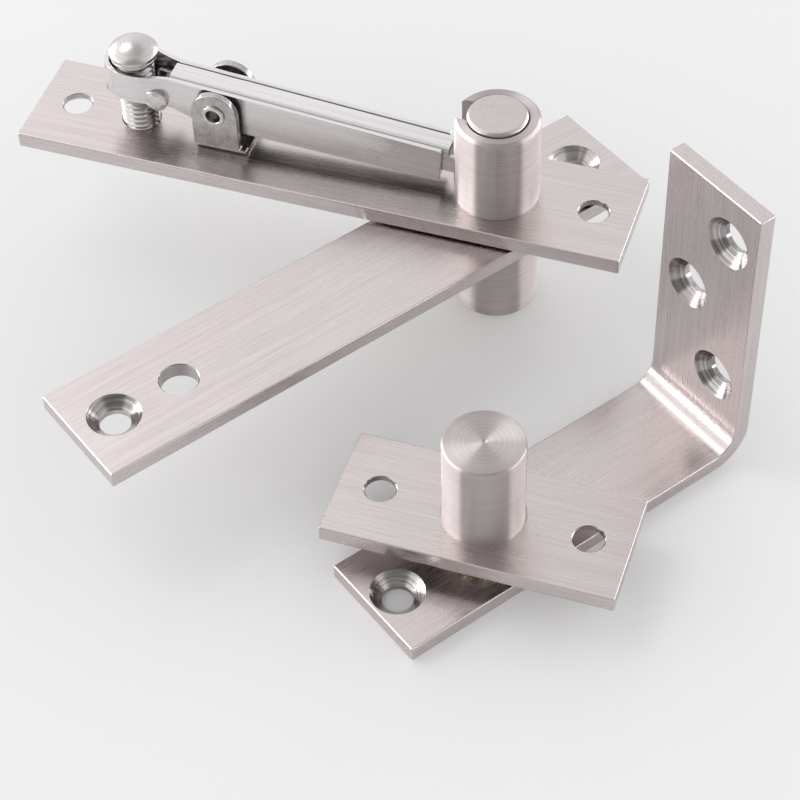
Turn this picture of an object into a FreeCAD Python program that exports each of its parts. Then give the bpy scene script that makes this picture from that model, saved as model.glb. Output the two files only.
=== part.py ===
import FreeCAD, Part
import math
import os

import Sketcher

# Door pivot hinge in two sets. The head set has a plate with a guide barrel, and a lever
# that a screw tilts to lift the pivot pin out of the door. The floor set has an angle
# bracket with a fixed pin and a thrust bearing under the plate of the door.
# Millimetres and degrees. X runs along the head plate and Z is up. The origin is on the
# axis of the floor pin, at the underside of the floor bracket.

SIZES = (
    ("plate_width", 25.0, "width of all four plates"),
    ("plate_thickness", 3.5, "thickness of all four plates"),
    ("edge_break", 0.25, "small bevel along the rims of the plates"),
    ("long_arm", 101.5, "pivot axis to the far end of a long plate"),
    ("short_arm", 29.0, "pivot axis to the near end of a long plate"),
    ("end_margin", 8.5, "screw hole from either end of a long plate"),
    ("screw_hole_radius", 3.1, "hole for a fixing screw"),
    ("countersink_radius", 5.4, "mouth of a countersink"),
    ("access_hole_radius", 3.9, "hole that lets a key through to the lifting screw"),
    ("head_axis_x", -18.0, "head set beside the floor set, along the head plate"),
    ("head_axis_y", 68.5, "head set behind the floor set"),
    ("door_angle", 55.0, "turn of the door's top plate from the head plate"),
    ("head_gap", 0.5, "gap between the head plate and the door's top plate"),
    ("barrel_radius", 8.75, "outside of the guide barrel"),
    ("barrel_height", 20.3, "guide barrel above the head plate"),
    ("barrel_spigot_radius", 7.8, "spigot of the barrel in the head plate"),
    ("barrel_bevel", 0.6, "bevel round the top of the barrel"),
    ("slot_width", 5.6, "slot in the barrel for the lever"),
    ("slot_floor", 1.5, "lower end of the slot above the head plate"),
    ("pin_radius", 6.2, "sliding pivot pin"),
    ("pin_play", 0.06, "radial play of a pin in its bush"),
    ("guide_play", 0.15, "radial play of the sliding pin in the barrel"),
    ("pin_stand", 0.7, "pin above the barrel at rest"),
    ("pin_reach", 12.8, "pin below the top of the door's top plate at rest"),
    ("pin_bevel", 0.5, "bevel at the ends of the pin"),
    ("notch_half_height", 2.75, "half height of the notch in the pin"),
    ("notch_wall", 0.8, "notch in the pin stops short of the axis by this"),
    ("notch_side_play", 0.2, "play of the lever's prongs across the notch"),
    ("door_cup_radius", 8.6, "outside of the cup in the top of the door"),
    ("door_cup_length", 20.75, "cup below the door's top plate"),
    ("door_cup_floor", 2.5, "closed end of that cup"),
    ("bush_wall", 1.0, "wall of a bearing bush"),
    ("bush_flange", 0.35, "flange of the upper bush"),
    ("cup_bevel", 0.5, "bevel round the end of a cup"),
    ("cup_collar", 0.4, "foot of a cup in its plate is wider by this"),
    ("pivot_height", 10.4, "lever's rivet above the head plate"),
    ("lift_arm", 19.3, "lever's rivet to the lifting screw"),
    ("rest_tilt", 4.4, "lever slopes down to the barrel by this at rest"),
    ("prong_margin", 3.7, "centre of the prong noses short of the pivot axis"),
    ("prong_nose_radius", 2.5, "round nose of a prong"),
    ("prong_half_height", 2.05, "half height of a prong behind its nose"),
    ("prong_centre", 0.4, "centre line of the prongs above the lever's axis"),
    ("channel_half_width", 2.4, "outside of the inner channel from the middle"),
    ("channel_wall", 0.9, "sheet of the inner channel"),
    ("channel_top", 4.3, "top of the inner channel above the lever's axis"),
    ("channel_corner", 0.85, "rounded shoulder of the inner channel"),
    ("channel_bottom", 3.3, "bottom of the inner channel below the lever's axis"),
    ("channel_margin", 10.8, "end of both channels short of the pivot axis"),
    ("web_reach", 1.2, "web of the inner channel beyond that end"),
    ("channel_back", 11.0, "lever's rivet to the back end of the web"),
    ("cheek_back", 15.3, "lever's rivet to the back end of the inner cheeks"),
    ("strap_wall", 1.0, "sheet of the outer strap"),
    ("strap_play", 0.1, "gap between the strap and the inner channel"),
    ("strap_top", 4.1, "top of the strap above the lever's axis"),
    ("strap_deep", 5.8, "deepest point of the strap below the lever's axis"),
    ("strap_front_depth", 3.9, "depth of the strap at the barrel end"),
    ("strap_deep_place", 3.0, "deepest point behind the lever's rivet"),
    ("nose_depth", 2.5, "depth of the strap at its nose"),
    ("nose_half_width", 5.4, "outside of the nose from the middle"),
    ("nose_centre", 20.6, "lever's rivet to the centre of the round nose"),
    ("neck_start", 19.0, "nose starts to narrow here"),
    ("neck_end", 9.5, "strap is down to its narrow width here"),
    ("lever_rivet_place", 13.3, "lever's rivet to the rivet at the neck"),
    ("lever_rivet_drop", 1.6, "that rivet below the lever's axis"),
    ("lever_rivet_radius", 1.4, "shank of that rivet"),
    ("lever_rivet_head_radius", 2.5, "head of that rivet"),
    ("lever_rivet_head", 0.8, "height of that head"),
    ("eyelet_radius", 1.95, "outside of the hollow rivet"),
    ("eyelet_bore", 1.55, "bore of the hollow rivet"),
    ("eyelet_lip_radius", 2.45, "rolled lip of the hollow rivet"),
    ("eyelet_lip", 0.5, "height of that lip"),
    ("eyelet_play", 0.05, "play of the lever on the hollow rivet"),
    ("ear_radius", 5.0, "round top of a bracket ear"),
    ("ear_inside", 4.4, "inner face of a bracket ear from the middle"),
    ("ear_thickness", 1.6, "sheet of the bracket"),
    ("ear_bend", 2.2, "outer bend of the bracket"),
    ("foot_front", 6.4, "bracket foot from its rivet towards the barrel"),
    ("lift_margin", 23.3, "lifting screw from the far end of the long plates"),
    ("lift_radius", 3.95, "thread of the lifting screw"),
    ("lift_play", 0.06, "play of the screw in the tapped hole"),
    ("lift_recess", 0.5, "foot of the screw above the underside of the plate"),
    ("seat_height", 16.8, "underside of the washer above the head plate"),
    ("washer_radius", 4.9, "washer under the screw head"),
    ("washer_height", 0.8, "thickness of that washer"),
    ("washer_play", 0.15, "play of the washer round the screw"),
    ("lift_head_radius", 5.1, "head of the lifting screw"),
    ("lift_head_rim", 0.9, "upright rim of the screw head"),
    ("lift_head_dome", 2.4, "dome of the screw head"),
    ("lift_head_gap", 0.1, "gap between the washer and the screw head"),
    ("key_radius", 2.3, "key socket in the foot of the screw, to its corners"),
    ("key_depth", 4.0, "depth of the key socket"),
    ("floor_back", 26.7, "floor bracket behind its pin"),
    ("floor_reach", 53.2, "floor pin to the inner face of the upright"),
    ("upright_height", 62.0, "upright above the floor leg"),
    ("floor_bend", 4.5, "inner bend of the floor bracket"),
    ("leg_margin", 6.0, "screw hole from the end of the leg"),
    ("upright_first_hole", 15.0, "lowest hole of the upright above the leg"),
    ("upright_margin", 11.0, "highest hole below the end of the upright"),
    ("upright_hole_offset", 4.7, "holes of the upright from its middle"),
    ("bearing_height", 4.2, "gap between the floor leg and the door's bottom plate"),
    ("bearing_radius", 8.4, "outside of the thrust bearing"),
    ("race_thickness", 0.85, "thickness of a bearing race"),
    ("ball_radius", 1.2, "ball of the thrust bearing"),
    ("ball_circle", 6.8, "circle of the balls"),
    ("ball_count", 11.0, "balls in the bearing"),
    ("ball_play", 0.08, "play of a ball in its cage pocket"),
    ("cage_thickness", 0.9, "ball cage"),
    ("cage_play", 0.2, "cage inside the outline of the races"),
    ("floor_pin_radius", 5.0, "pin of the floor bracket"),
    ("floor_pin_rise", 15.5, "floor pin above the top of the door's bottom plate"),
    ("floor_spigot_radius", 4.2, "spigot of the floor pin in the leg"),
    ("half_bottom_plate", 29.0, "half length of the door's bottom plate"),
    ("bottom_margin", 8.3, "screw hole from either end of that plate"),
    ("bottom_cup_radius", 8.0, "outside of the cup in the bottom of the door"),
    ("bottom_cup_length", 21.0, "cup above that plate"),
    ("bottom_cup_floor", 4.0, "closed end of that cup"),
    ("centre_mark", 0.6, "turning centre in the end of that cup"),
)

# Heights and distances that several pieces share, as expressions over the sizes
LEG_TOP = "Sizes.plate_thickness"
PLATE_BOTTOM = "(Sizes.plate_thickness + Sizes.bearing_height)"
DOOR_TOP_BOTTOM = "Sizes.door_cup_length"
HEAD_BOTTOM = "(Sizes.door_cup_length + Sizes.plate_thickness + Sizes.head_gap)"
HEAD_TOP = "(Sizes.door_cup_length + 2 * Sizes.plate_thickness + Sizes.head_gap)"
HALF_WIDTH = "(Sizes.plate_width / 2)"
FAR_HOLE = "(Sizes.long_arm - Sizes.end_margin)"
NEAR_HOLE = "(Sizes.short_arm - Sizes.end_margin)"
LIFT_PLACE = "(Sizes.long_arm - Sizes.lift_margin)"
PIVOT_PLACE = "(Sizes.long_arm - Sizes.lift_margin - Sizes.lift_arm)"
PRONG_LENGTH = "(Sizes.long_arm - Sizes.lift_margin - Sizes.lift_arm - Sizes.prong_margin)"
CHANNEL_FRONT = "(Sizes.long_arm - Sizes.lift_margin - Sizes.lift_arm - Sizes.channel_margin)"
GUIDE_BORE = "(Sizes.pin_radius + Sizes.guide_play)"
PIN_BORE = "(Sizes.pin_radius + Sizes.pin_play)"
UPPER_BUSH = "(Sizes.pin_radius + Sizes.pin_play + Sizes.bush_wall)"
FLOOR_BORE = "(Sizes.floor_pin_radius + Sizes.pin_play)"
LOWER_BUSH = "(Sizes.floor_pin_radius + Sizes.pin_play + Sizes.bush_wall)"
STRAP_INSIDE = "(Sizes.channel_half_width + Sizes.strap_play)"
STRAP_OUTSIDE = "(Sizes.channel_half_width + Sizes.strap_play + Sizes.strap_wall)"
NOSE_INSIDE = "(Sizes.nose_half_width - Sizes.strap_wall)"
EAR_OUTSIDE = "(Sizes.ear_inside + Sizes.ear_thickness)"
PIVOT_HOLE = "(Sizes.eyelet_radius + Sizes.eyelet_play)"
CLEAR = "(4 * Sizes.plate_width)"

doc = FreeCAD.newDocument("pivot_hinge")
sheet = doc.addObject("Spreadsheet::Sheet", "Sizes")
for row, (alias, value, meaning) in enumerate(SIZES, start=1):
    sheet.set("A%d" % row, meaning)
    sheet.set("B%d" % row, str(value))
    sheet.setAlias("B%d" % row, alias)
doc.recompute()

parts = []


def size(alias):
    """Value of one cell of the sheet."""
    return float(sheet.get(alias))


def new_body(label):
    """Empty body that is written to its own file."""
    body = doc.addObject("PartDesign::Body", label)
    body.Label = label
    parts.append(body)
    return body


def new_sketch(body, role):
    """Sketch on one of the body's origin planes."""
    plane = [item for item in body.Origin.OriginFeatures if item.Role == role][0]
    sketch = body.newObject("Sketcher::SketchObject", body.Label + "_sketch")
    sketch.AttachmentSupport = (plane, [""])
    sketch.MapMode = "FlatFace"
    return sketch


def hold(sketch, geometry, point, across, up):
    """Bind one point of a sketch to its place, given as two expressions."""
    now = sketch.getPoint(geometry, point)
    for kind, rule, value in (("DistanceX", across, now.x), ("DistanceY", up, now.y)):
        constraint = Sketcher.Constraint(kind, -1, 1, geometry, point, value)
        index = sketch.addConstraint(constraint)
        sketch.setExpression("Constraints[%d]" % index, rule)


def add_outline(sketch, corners):
    """Closed outline. A corner is (across, up), and a third word "dome" turns the side
    after it into an arc that is centred on the upright axis of the sketch."""
    first = sketch.GeometryCount
    count = len(corners)
    circle = Part.Circle(FreeCAD.Vector(), FreeCAD.Vector(0, 0, 1), 9)
    for place, corner in enumerate(corners):
        start_angle = 2 * math.pi * (place + 0.5) / count
        side = Part.ArcOfCircle(circle, start_angle, start_angle + 2 * math.pi / count)
        if len(corner) == 2:
            side = Part.LineSegment(side.StartPoint, side.EndPoint)
        sketch.addGeometry(side)
    for place in range(count):
        following = first + (place + 1) % count
        sketch.addConstraint(Sketcher.Constraint("Coincident", first + place, 2, following, 1))
    for place, corner in enumerate(corners):
        hold(sketch, first + place, 1, corner[0], corner[1])
        if len(corner) == 3:
            sketch.addConstraint(Sketcher.Constraint("PointOnObject", first + place, 3, -2))


def add_circle(sketch, across, up, radius):
    """Circle whose centre and radius are expressions."""
    circle = Part.Circle(FreeCAD.Vector(5, 5, 0), FreeCAD.Vector(0, 0, 1), 2)
    geometry = sketch.addGeometry(circle)
    hold(sketch, geometry, 3, across, up)
    index = sketch.addConstraint(Sketcher.Constraint("Radius", geometry, 2.0))
    sketch.setExpression("Constraints[%d]" % index, radius)


def pad(body, sketch, length, symmetric=False):
    """Solid over a sketch, upwards or to both sides."""
    feature = body.newObject("PartDesign::Pad", body.Label + "_pad")
    feature.Profile = sketch
    feature.setExpression("Length", length)
    if symmetric:
        feature.SideType = "Symmetric"
    doc.recompute()
    return feature


def pocket(body, sketch, length=CLEAR, symmetric=True, reversed_way=False):
    """Cut over a sketch, which has to take material away."""
    before = body.Shape.Volume
    feature = body.newObject("PartDesign::Pocket", body.Label + "_pocket")
    feature.Profile = sketch
    feature.setExpression("Length", length)
    feature.Reversed = reversed_way
    if symmetric:
        feature.SideType = "Symmetric"
    doc.recompute()
    if body.Shape.Volume >= before:
        raise RuntimeError("a pocket of %s cuts nothing" % body.Label)
    return feature


def bevel(body, names, rule, kind="PartDesign::Chamfer"):
    """Bevel or round the named edges of the body's last feature."""
    base = body.Tip
    feature = body.newObject(kind, body.Label + "_edge")
    feature.Base = (base, names)
    feature.setExpression("Size" if kind.endswith("Chamfer") else "Radius", rule)
    body.Tip = feature
    doc.recompute()
    return feature


def edge_names(shape, wanted):
    """Names of the edges for which the test holds."""
    return ["Edge%d" % place for place, edge in enumerate(shape.Edges, start=1) if wanted(edge)]


def is_ring(edge, radius, height=None):
    """Whether an edge is a full circle of a radius, at a height where one is given."""
    if not isinstance(edge.Curve, Part.Circle) or not edge.isClosed():
        return False
    same_size = abs(edge.Curve.Radius - radius) < 1e-4
    return same_size and (height is None or abs(edge.Curve.Center.z - height) < 1e-4)


def break_rims(body, low, high):
    """Bevel the straight rims of a plate at its two faces."""
    def on_rim(edge):
        box = edge.BoundBox
        flat = box.ZLength < 1e-6
        at_face = abs(box.ZMin - low) < 1e-6 or abs(box.ZMin - high) < 1e-6
        return isinstance(edge.Curve, Part.Line) and flat and at_face
    bevel(body, edge_names(body.Shape, on_rim), "Sizes.edge_break")


def place(body, x="0", y="0", z="0", angle="0"):
    """Set a body in the frame, turned about the upright axis."""
    body.Placement = FreeCAD.Placement(FreeCAD.Vector(), FreeCAD.Rotation(FreeCAD.Vector(0, 0, 1), 1))
    body.setExpression(".Placement.Base.x", x)
    body.setExpression(".Placement.Base.y", y)
    body.setExpression(".Placement.Base.z", z)
    body.setExpression(".Placement.Rotation.Angle", angle)


def place_head(body, z, angle="0"):
    """Set a body on the axis of the head set."""
    place(body, "Sizes.head_axis_x", "Sizes.head_axis_y", z, angle)


def turned(label, corners):
    """Body of revolution about its upright axis."""
    body = new_body(label)
    sketch = new_sketch(body, "XZ_Plane")
    add_outline(sketch, corners)
    feature = body.newObject("PartDesign::Revolution", label + "_turn")
    feature.Profile = sketch
    feature.ReferenceAxis = (sketch, ["V_Axis"])
    feature.Angle = 360
    doc.recompute()
    return body


def plate(label, back, front, holes):
    """Flat plate on its own underside, with round holes as (along, radius)."""
    body = new_body(label)
    sketch = new_sketch(body, "XY_Plane")
    add_outline(sketch, (
        ("-" + back, "-" + HALF_WIDTH),
        (front, "-" + HALF_WIDTH),
        (front, HALF_WIDTH),
        ("-" + back, HALF_WIDTH),
    ))
    for along, radius in holes:
        add_circle(sketch, along, "0", radius)
    pad(body, sketch, "Sizes.plate_thickness")
    break_rims(body, 0, size("plate_thickness"))
    return body


def countersink(body, height):
    """Countersink every fixing hole at one face of a plate."""
    radius = size("screw_hole_radius")
    rings = edge_names(body.Shape, lambda edge: is_ring(edge, radius, height))
    bevel(body, rings, "Sizes.countersink_radius - Sizes.screw_hole_radius")


# Head plate, with the tapped hole for the lifting screw
head_plate = plate("head_plate", "Sizes.long_arm", "Sizes.short_arm", (
    ("-" + FAR_HOLE, "Sizes.screw_hole_radius"),
    (NEAR_HOLE, "Sizes.screw_hole_radius"),
    ("0", "Sizes.barrel_spigot_radius"),
    ("-" + LIFT_PLACE, "Sizes.lift_radius + Sizes.lift_play"),
))
countersink(head_plate, 0)
place_head(head_plate, HEAD_BOTTOM)

# Guide barrel, open to the lever through an upright slot
guide_barrel = turned("guide_barrel", (
    (GUIDE_BORE, "-Sizes.plate_thickness"),
    ("Sizes.barrel_spigot_radius", "-Sizes.plate_thickness"),
    ("Sizes.barrel_spigot_radius", "0"),
    ("Sizes.barrel_radius", "0"),
    ("Sizes.barrel_radius", "Sizes.barrel_height - Sizes.barrel_bevel"),
    ("Sizes.barrel_radius - Sizes.barrel_bevel", "Sizes.barrel_height"),
    (GUIDE_BORE + " + Sizes.barrel_bevel / 2", "Sizes.barrel_height"),
    (GUIDE_BORE, "Sizes.barrel_height - Sizes.barrel_bevel / 2"),
))
slot = new_sketch(guide_barrel, "XZ_Plane")
add_outline(slot, (
    ("-2 * Sizes.barrel_radius", "Sizes.slot_floor"),
    ("0", "Sizes.slot_floor"),
    ("0", "2 * Sizes.barrel_height"),
    ("-2 * Sizes.barrel_radius", "2 * Sizes.barrel_height"),
))
pocket(guide_barrel, slot, "Sizes.slot_width")
place_head(guide_barrel, HEAD_TOP)

# Pivot pin, notched where the prongs of the lever lift it. Its own origin is at the top
# of the head plate
PIN_FOOT = "-(Sizes.plate_thickness + Sizes.head_gap + Sizes.pin_reach)"
PIN_TOP = "(Sizes.barrel_height + Sizes.pin_stand)"
NOTCH_MIDDLE = ("(Sizes.pivot_height - " + PRONG_LENGTH + " * sin(Sizes.rest_tilt * 1deg)"
                " + Sizes.prong_centre * cos(Sizes.rest_tilt * 1deg))")
NOTCH_HALF_WIDTH = "(Sizes.channel_half_width + Sizes.notch_side_play)"
pivot_pin = turned("pivot_pin", (
    ("0", PIN_FOOT),
    ("Sizes.pin_radius - Sizes.pin_bevel", PIN_FOOT),
    ("Sizes.pin_radius", PIN_FOOT + " + Sizes.pin_bevel"),
    ("Sizes.pin_radius", PIN_TOP + " - Sizes.pin_bevel"),
    ("Sizes.pin_radius - Sizes.pin_bevel", PIN_TOP),
    ("0", PIN_TOP),
))
notch = new_sketch(pivot_pin, "XZ_Plane")
add_outline(notch, (
    ("-2 * Sizes.pin_radius", NOTCH_MIDDLE + " - Sizes.notch_half_height"),
    ("-Sizes.notch_wall", NOTCH_MIDDLE + " - Sizes.notch_half_height"),
    ("-Sizes.notch_wall", NOTCH_MIDDLE + " + Sizes.notch_half_height"),
    ("-2 * Sizes.pin_radius", NOTCH_MIDDLE + " + Sizes.notch_half_height"),
))
pocket(pivot_pin, notch, "2 * " + NOTCH_HALF_WIDTH)
place_head(pivot_pin, HEAD_TOP)

# Lever: an outer strap bent round the screw, and an inner channel folded from one sheet.
# Both are drawn about the lever's own rivet, with X towards the barrel
LEVER_X = "Sizes.head_axis_x - " + PIVOT_PLACE
LEVER_Z = HEAD_TOP + " + Sizes.pivot_height"


def place_lever(body):
    """Set a piece of the lever on its rivet, sloping down to the barrel."""
    turn = FreeCAD.Rotation(FreeCAD.Vector(0, 1, 0), 1)
    body.Placement = FreeCAD.Placement(FreeCAD.Vector(), turn)
    body.setExpression(".Placement.Base.x", LEVER_X)
    body.setExpression(".Placement.Base.y", "Sizes.head_axis_y")
    body.setExpression(".Placement.Base.z", LEVER_Z)
    body.setExpression(".Placement.Rotation.Angle", "Sizes.rest_tilt")


def drill_across(body, along, up, radius):
    """Round hole through both sides of a lever piece."""
    sketch = new_sketch(body, "XZ_Plane")
    add_circle(sketch, along, up, radius)
    pocket(body, sketch)


lever_strap = new_body("lever_strap")
strap_height = "Sizes.strap_top + Sizes.strap_deep"
outer = new_sketch(lever_strap, "XY_Plane")
add_outline(outer, (
    ("-Sizes.nose_centre", "-Sizes.nose_half_width"),
    ("-Sizes.neck_start", "-Sizes.nose_half_width"),
    ("-Sizes.neck_end", "-" + STRAP_OUTSIDE),
    (CHANNEL_FRONT, "-" + STRAP_OUTSIDE),
    (CHANNEL_FRONT, STRAP_OUTSIDE),
    ("-Sizes.neck_end", STRAP_OUTSIDE),
    ("-Sizes.neck_start", "Sizes.nose_half_width"),
    ("-Sizes.nose_centre", "Sizes.nose_half_width"),
))
pad(lever_strap, outer, "2 * (" + strap_height + ")", True)
round_end = new_sketch(lever_strap, "XY_Plane")
add_circle(round_end, "-Sizes.nose_centre", "0", "Sizes.nose_half_width")
pad(lever_strap, round_end, "2 * (" + strap_height + ")", True)
inner = new_sketch(lever_strap, "XY_Plane")
add_outline(inner, (
    ("-Sizes.nose_centre", "-" + NOSE_INSIDE),
    ("-Sizes.neck_start", "-" + NOSE_INSIDE),
    ("-Sizes.neck_end", "-" + STRAP_INSIDE),
    ("2 * " + CHANNEL_FRONT, "-" + STRAP_INSIDE),
    ("2 * " + CHANNEL_FRONT, STRAP_INSIDE),
    ("-Sizes.neck_end", STRAP_INSIDE),
    ("-Sizes.neck_start", NOSE_INSIDE),
    ("-Sizes.nose_centre", NOSE_INSIDE),
))
pocket(lever_strap, inner)
round_hole = new_sketch(lever_strap, "XY_Plane")
add_circle(round_hole, "-Sizes.nose_centre", "0", NOSE_INSIDE)
pocket(lever_strap, round_hole)
above = new_sketch(lever_strap, "XZ_Plane")
add_outline(above, (
    ("-2 * " + CHANNEL_FRONT, "Sizes.strap_top"),
    ("2 * " + CHANNEL_FRONT, "Sizes.strap_top"),
    ("2 * " + CHANNEL_FRONT, "4 * Sizes.strap_top + 4 * Sizes.strap_deep"),
    ("-2 * " + CHANNEL_FRONT, "4 * Sizes.strap_top + 4 * Sizes.strap_deep"),
))
pocket(lever_strap, above)
below = new_sketch(lever_strap, "XZ_Plane")
BELLY_START = "-Sizes.lever_rivet_place + 2 * Sizes.lever_rivet_radius"
add_outline(below, (
    ("-2 * " + CHANNEL_FRONT, "-Sizes.nose_depth"),
    (BELLY_START, "-Sizes.nose_depth - Sizes.lever_rivet_drop / 2"),
    ("-Sizes.strap_deep_place", "-Sizes.strap_deep"),
    (CHANNEL_FRONT, "-Sizes.strap_front_depth"),
    ("2 * " + CHANNEL_FRONT, "-Sizes.strap_front_depth"),
    ("2 * " + CHANNEL_FRONT, "-4 * Sizes.strap_top - 4 * Sizes.strap_deep"),
    ("-2 * " + CHANNEL_FRONT, "-4 * Sizes.strap_top - 4 * Sizes.strap_deep"),
))
pocket(lever_strap, below)
NECK_HOLE = ("-Sizes.lever_rivet_place", "-Sizes.lever_rivet_drop", "Sizes.lever_rivet_radius")
drill_across(lever_strap, "0", "0", PIVOT_HOLE)
drill_across(lever_strap, *NECK_HOLE)
place_lever(lever_strap)

lever_channel = new_body("lever_channel")
section = new_sketch(lever_channel, "YZ_Plane")
add_outline(section, (
    ("-Sizes.channel_half_width", "-Sizes.channel_bottom"),
    ("-Sizes.channel_half_width + Sizes.channel_wall", "-Sizes.channel_bottom"),
    ("-Sizes.channel_half_width + Sizes.channel_wall", "Sizes.channel_top - Sizes.channel_wall"),
    ("Sizes.channel_half_width - Sizes.channel_wall", "Sizes.channel_top - Sizes.channel_wall"),
    ("Sizes.channel_half_width - Sizes.channel_wall", "-Sizes.channel_bottom"),
    ("Sizes.channel_half_width", "-Sizes.channel_bottom"),
    ("Sizes.channel_half_width", "Sizes.channel_top"),
    ("-Sizes.channel_half_width", "Sizes.channel_top"),
))
pad(lever_channel, section, "4 * " + CHANNEL_FRONT, True)


def is_shoulder(edge):
    """Outer top edge of the folded channel."""
    box = edge.BoundBox
    return box.XLength > 1 and abs(box.ZMin - size("channel_top")) < 1e-6


bevel(
    lever_channel, edge_names(lever_channel.Shape, is_shoulder),
    "Sizes.channel_corner", "PartDesign::Fillet",
)
PRONG_TOP = "Sizes.prong_centre + Sizes.prong_half_height"
PRONG_BOTTOM = "Sizes.prong_centre - Sizes.prong_half_height"
FAR = "4 * " + CHANNEL_FRONT
over = new_sketch(lever_channel, "XZ_Plane")
add_outline(over, (
    (CHANNEL_FRONT + " + Sizes.web_reach", PRONG_TOP),
    (FAR, PRONG_TOP),
    (FAR, FAR),
    (CHANNEL_FRONT + " + Sizes.web_reach", FAR),
))
pocket(lever_channel, over)
under = new_sketch(lever_channel, "XZ_Plane")
add_outline(under, (
    (CHANNEL_FRONT, "-" + FAR),
    (FAR, "-" + FAR),
    (FAR, PRONG_BOTTOM),
    (CHANNEL_FRONT, PRONG_BOTTOM),
))
pocket(lever_channel, under)
ahead = new_sketch(lever_channel, "XZ_Plane")
add_outline(ahead, (
    (PRONG_LENGTH, "-" + FAR),
    (FAR, "-" + FAR),
    (FAR, FAR),
    (PRONG_LENGTH, FAR),
))
pocket(lever_channel, ahead)
CHEEK_TOP = "Sizes.channel_top / 3"
behind = new_sketch(lever_channel, "XZ_Plane")
add_outline(behind, (
    ("-" + FAR, "-" + FAR),
    ("-Sizes.cheek_back", "-" + FAR),
    ("-Sizes.cheek_back", CHEEK_TOP),
    ("-Sizes.channel_back", CHEEK_TOP),
    ("-Sizes.channel_back", FAR),
    ("-" + FAR, FAR),
))
pocket(lever_channel, behind)
clear_nose = new_sketch(lever_channel, "XZ_Plane")
add_outline(clear_nose, (
    ("-" + FAR, "-" + FAR),
    ("-Sizes.strap_deep_place", "-" + FAR),
    ("-Sizes.strap_deep_place", "-Sizes.channel_bottom"),
    ("-Sizes.channel_back", "-Sizes.nose_depth"),
    ("-" + FAR, "-Sizes.nose_depth"),
))
pocket(lever_channel, clear_nose)
drill_across(lever_channel, "0", "0", PIVOT_HOLE)
drill_across(lever_channel, *NECK_HOLE)
for side in ("", "-"):
    nose = new_sketch(lever_channel, "XZ_Plane")
    add_circle(nose, PRONG_LENGTH, "Sizes.prong_centre", "Sizes.prong_nose_radius")
    offset = side + "(Sizes.channel_half_width - Sizes.channel_wall / 2)"
    nose.setExpression(".AttachmentOffset.Base.z", offset)
    pad(lever_channel, nose, "Sizes.channel_wall", True)
place_lever(lever_channel)


def lay_across(body, x, z):
    """Set a turned body with its axis across the head plate."""
    turn = FreeCAD.Rotation(FreeCAD.Vector(1, 0, 0), 90)
    body.Placement = FreeCAD.Placement(FreeCAD.Vector(), turn)
    body.setExpression(".Placement.Base.x", x)
    body.setExpression(".Placement.Base.y", "Sizes.head_axis_y")
    body.setExpression(".Placement.Base.z", z)


# Rivet at the neck of the lever. Its heads are closed down on the sloping cheeks, so the
# strap is cut out of a straight rivet
RIVET_TIP = "((" + STRAP_OUTSIDE + " + Sizes.nose_half_width) / 2 + Sizes.lever_rivet_head)"
RIVET_SEAT = "((" + STRAP_INSIDE + " + " + NOSE_INSIDE + ") / 2)"
SLOPE = "(Sizes.rest_tilt * 1deg)"
rivet_blank = turned("lever_rivet_blank", (
    ("0", "-" + RIVET_TIP),
    ("Sizes.lever_rivet_head_radius * 0.7", "-" + RIVET_TIP),
    ("Sizes.lever_rivet_head_radius", "-" + RIVET_TIP + " + Sizes.lever_rivet_head / 2"),
    ("Sizes.lever_rivet_head_radius", "-" + RIVET_SEAT),
    ("Sizes.lever_rivet_radius", "-" + RIVET_SEAT),
    ("Sizes.lever_rivet_radius", RIVET_SEAT),
    ("Sizes.lever_rivet_head_radius", RIVET_SEAT),
    ("Sizes.lever_rivet_head_radius", RIVET_TIP + " - Sizes.lever_rivet_head / 2"),
    ("Sizes.lever_rivet_head_radius * 0.7", RIVET_TIP),
    ("0", RIVET_TIP),
))
parts.remove(rivet_blank)
lay_across(
    rivet_blank,
    LEVER_X + " - Sizes.lever_rivet_place * cos" + SLOPE + " - Sizes.lever_rivet_drop * sin" + SLOPE,
    LEVER_Z + " + Sizes.lever_rivet_place * sin" + SLOPE + " - Sizes.lever_rivet_drop * cos" + SLOPE,
)
lever_rivet = doc.addObject("Part::Cut", "lever_rivet")
lever_rivet.Label = "lever_rivet"
lever_rivet.Base = rivet_blank
lever_rivet.Tool = lever_strap
parts.append(lever_rivet)

# Bracket of the lever: a folded U with two round-topped ears and a foot on the plate
fulcrum_bracket = new_body("fulcrum_bracket")
bent = new_sketch(fulcrum_bracket, "YZ_Plane")
EAR_TOP = "(Sizes.pivot_height + Sizes.ear_radius)"
add_outline(bent, (
    ("-" + EAR_OUTSIDE, "0"),
    (EAR_OUTSIDE, "0"),
    (EAR_OUTSIDE, EAR_TOP),
    ("Sizes.ear_inside", EAR_TOP),
    ("Sizes.ear_inside", "Sizes.ear_thickness"),
    ("-Sizes.ear_inside", "Sizes.ear_thickness"),
    ("-Sizes.ear_inside", EAR_TOP),
    ("-" + EAR_OUTSIDE, EAR_TOP),
))
pad(fulcrum_bracket, bent, "4 * Sizes.ear_radius + 4 * Sizes.foot_front", True)


def is_bend(height):
    """Test for the long edges of a fold at a height."""
    return lambda edge: edge.BoundBox.XLength > 1 and abs(edge.BoundBox.ZMax - height) < 1e-6


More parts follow.
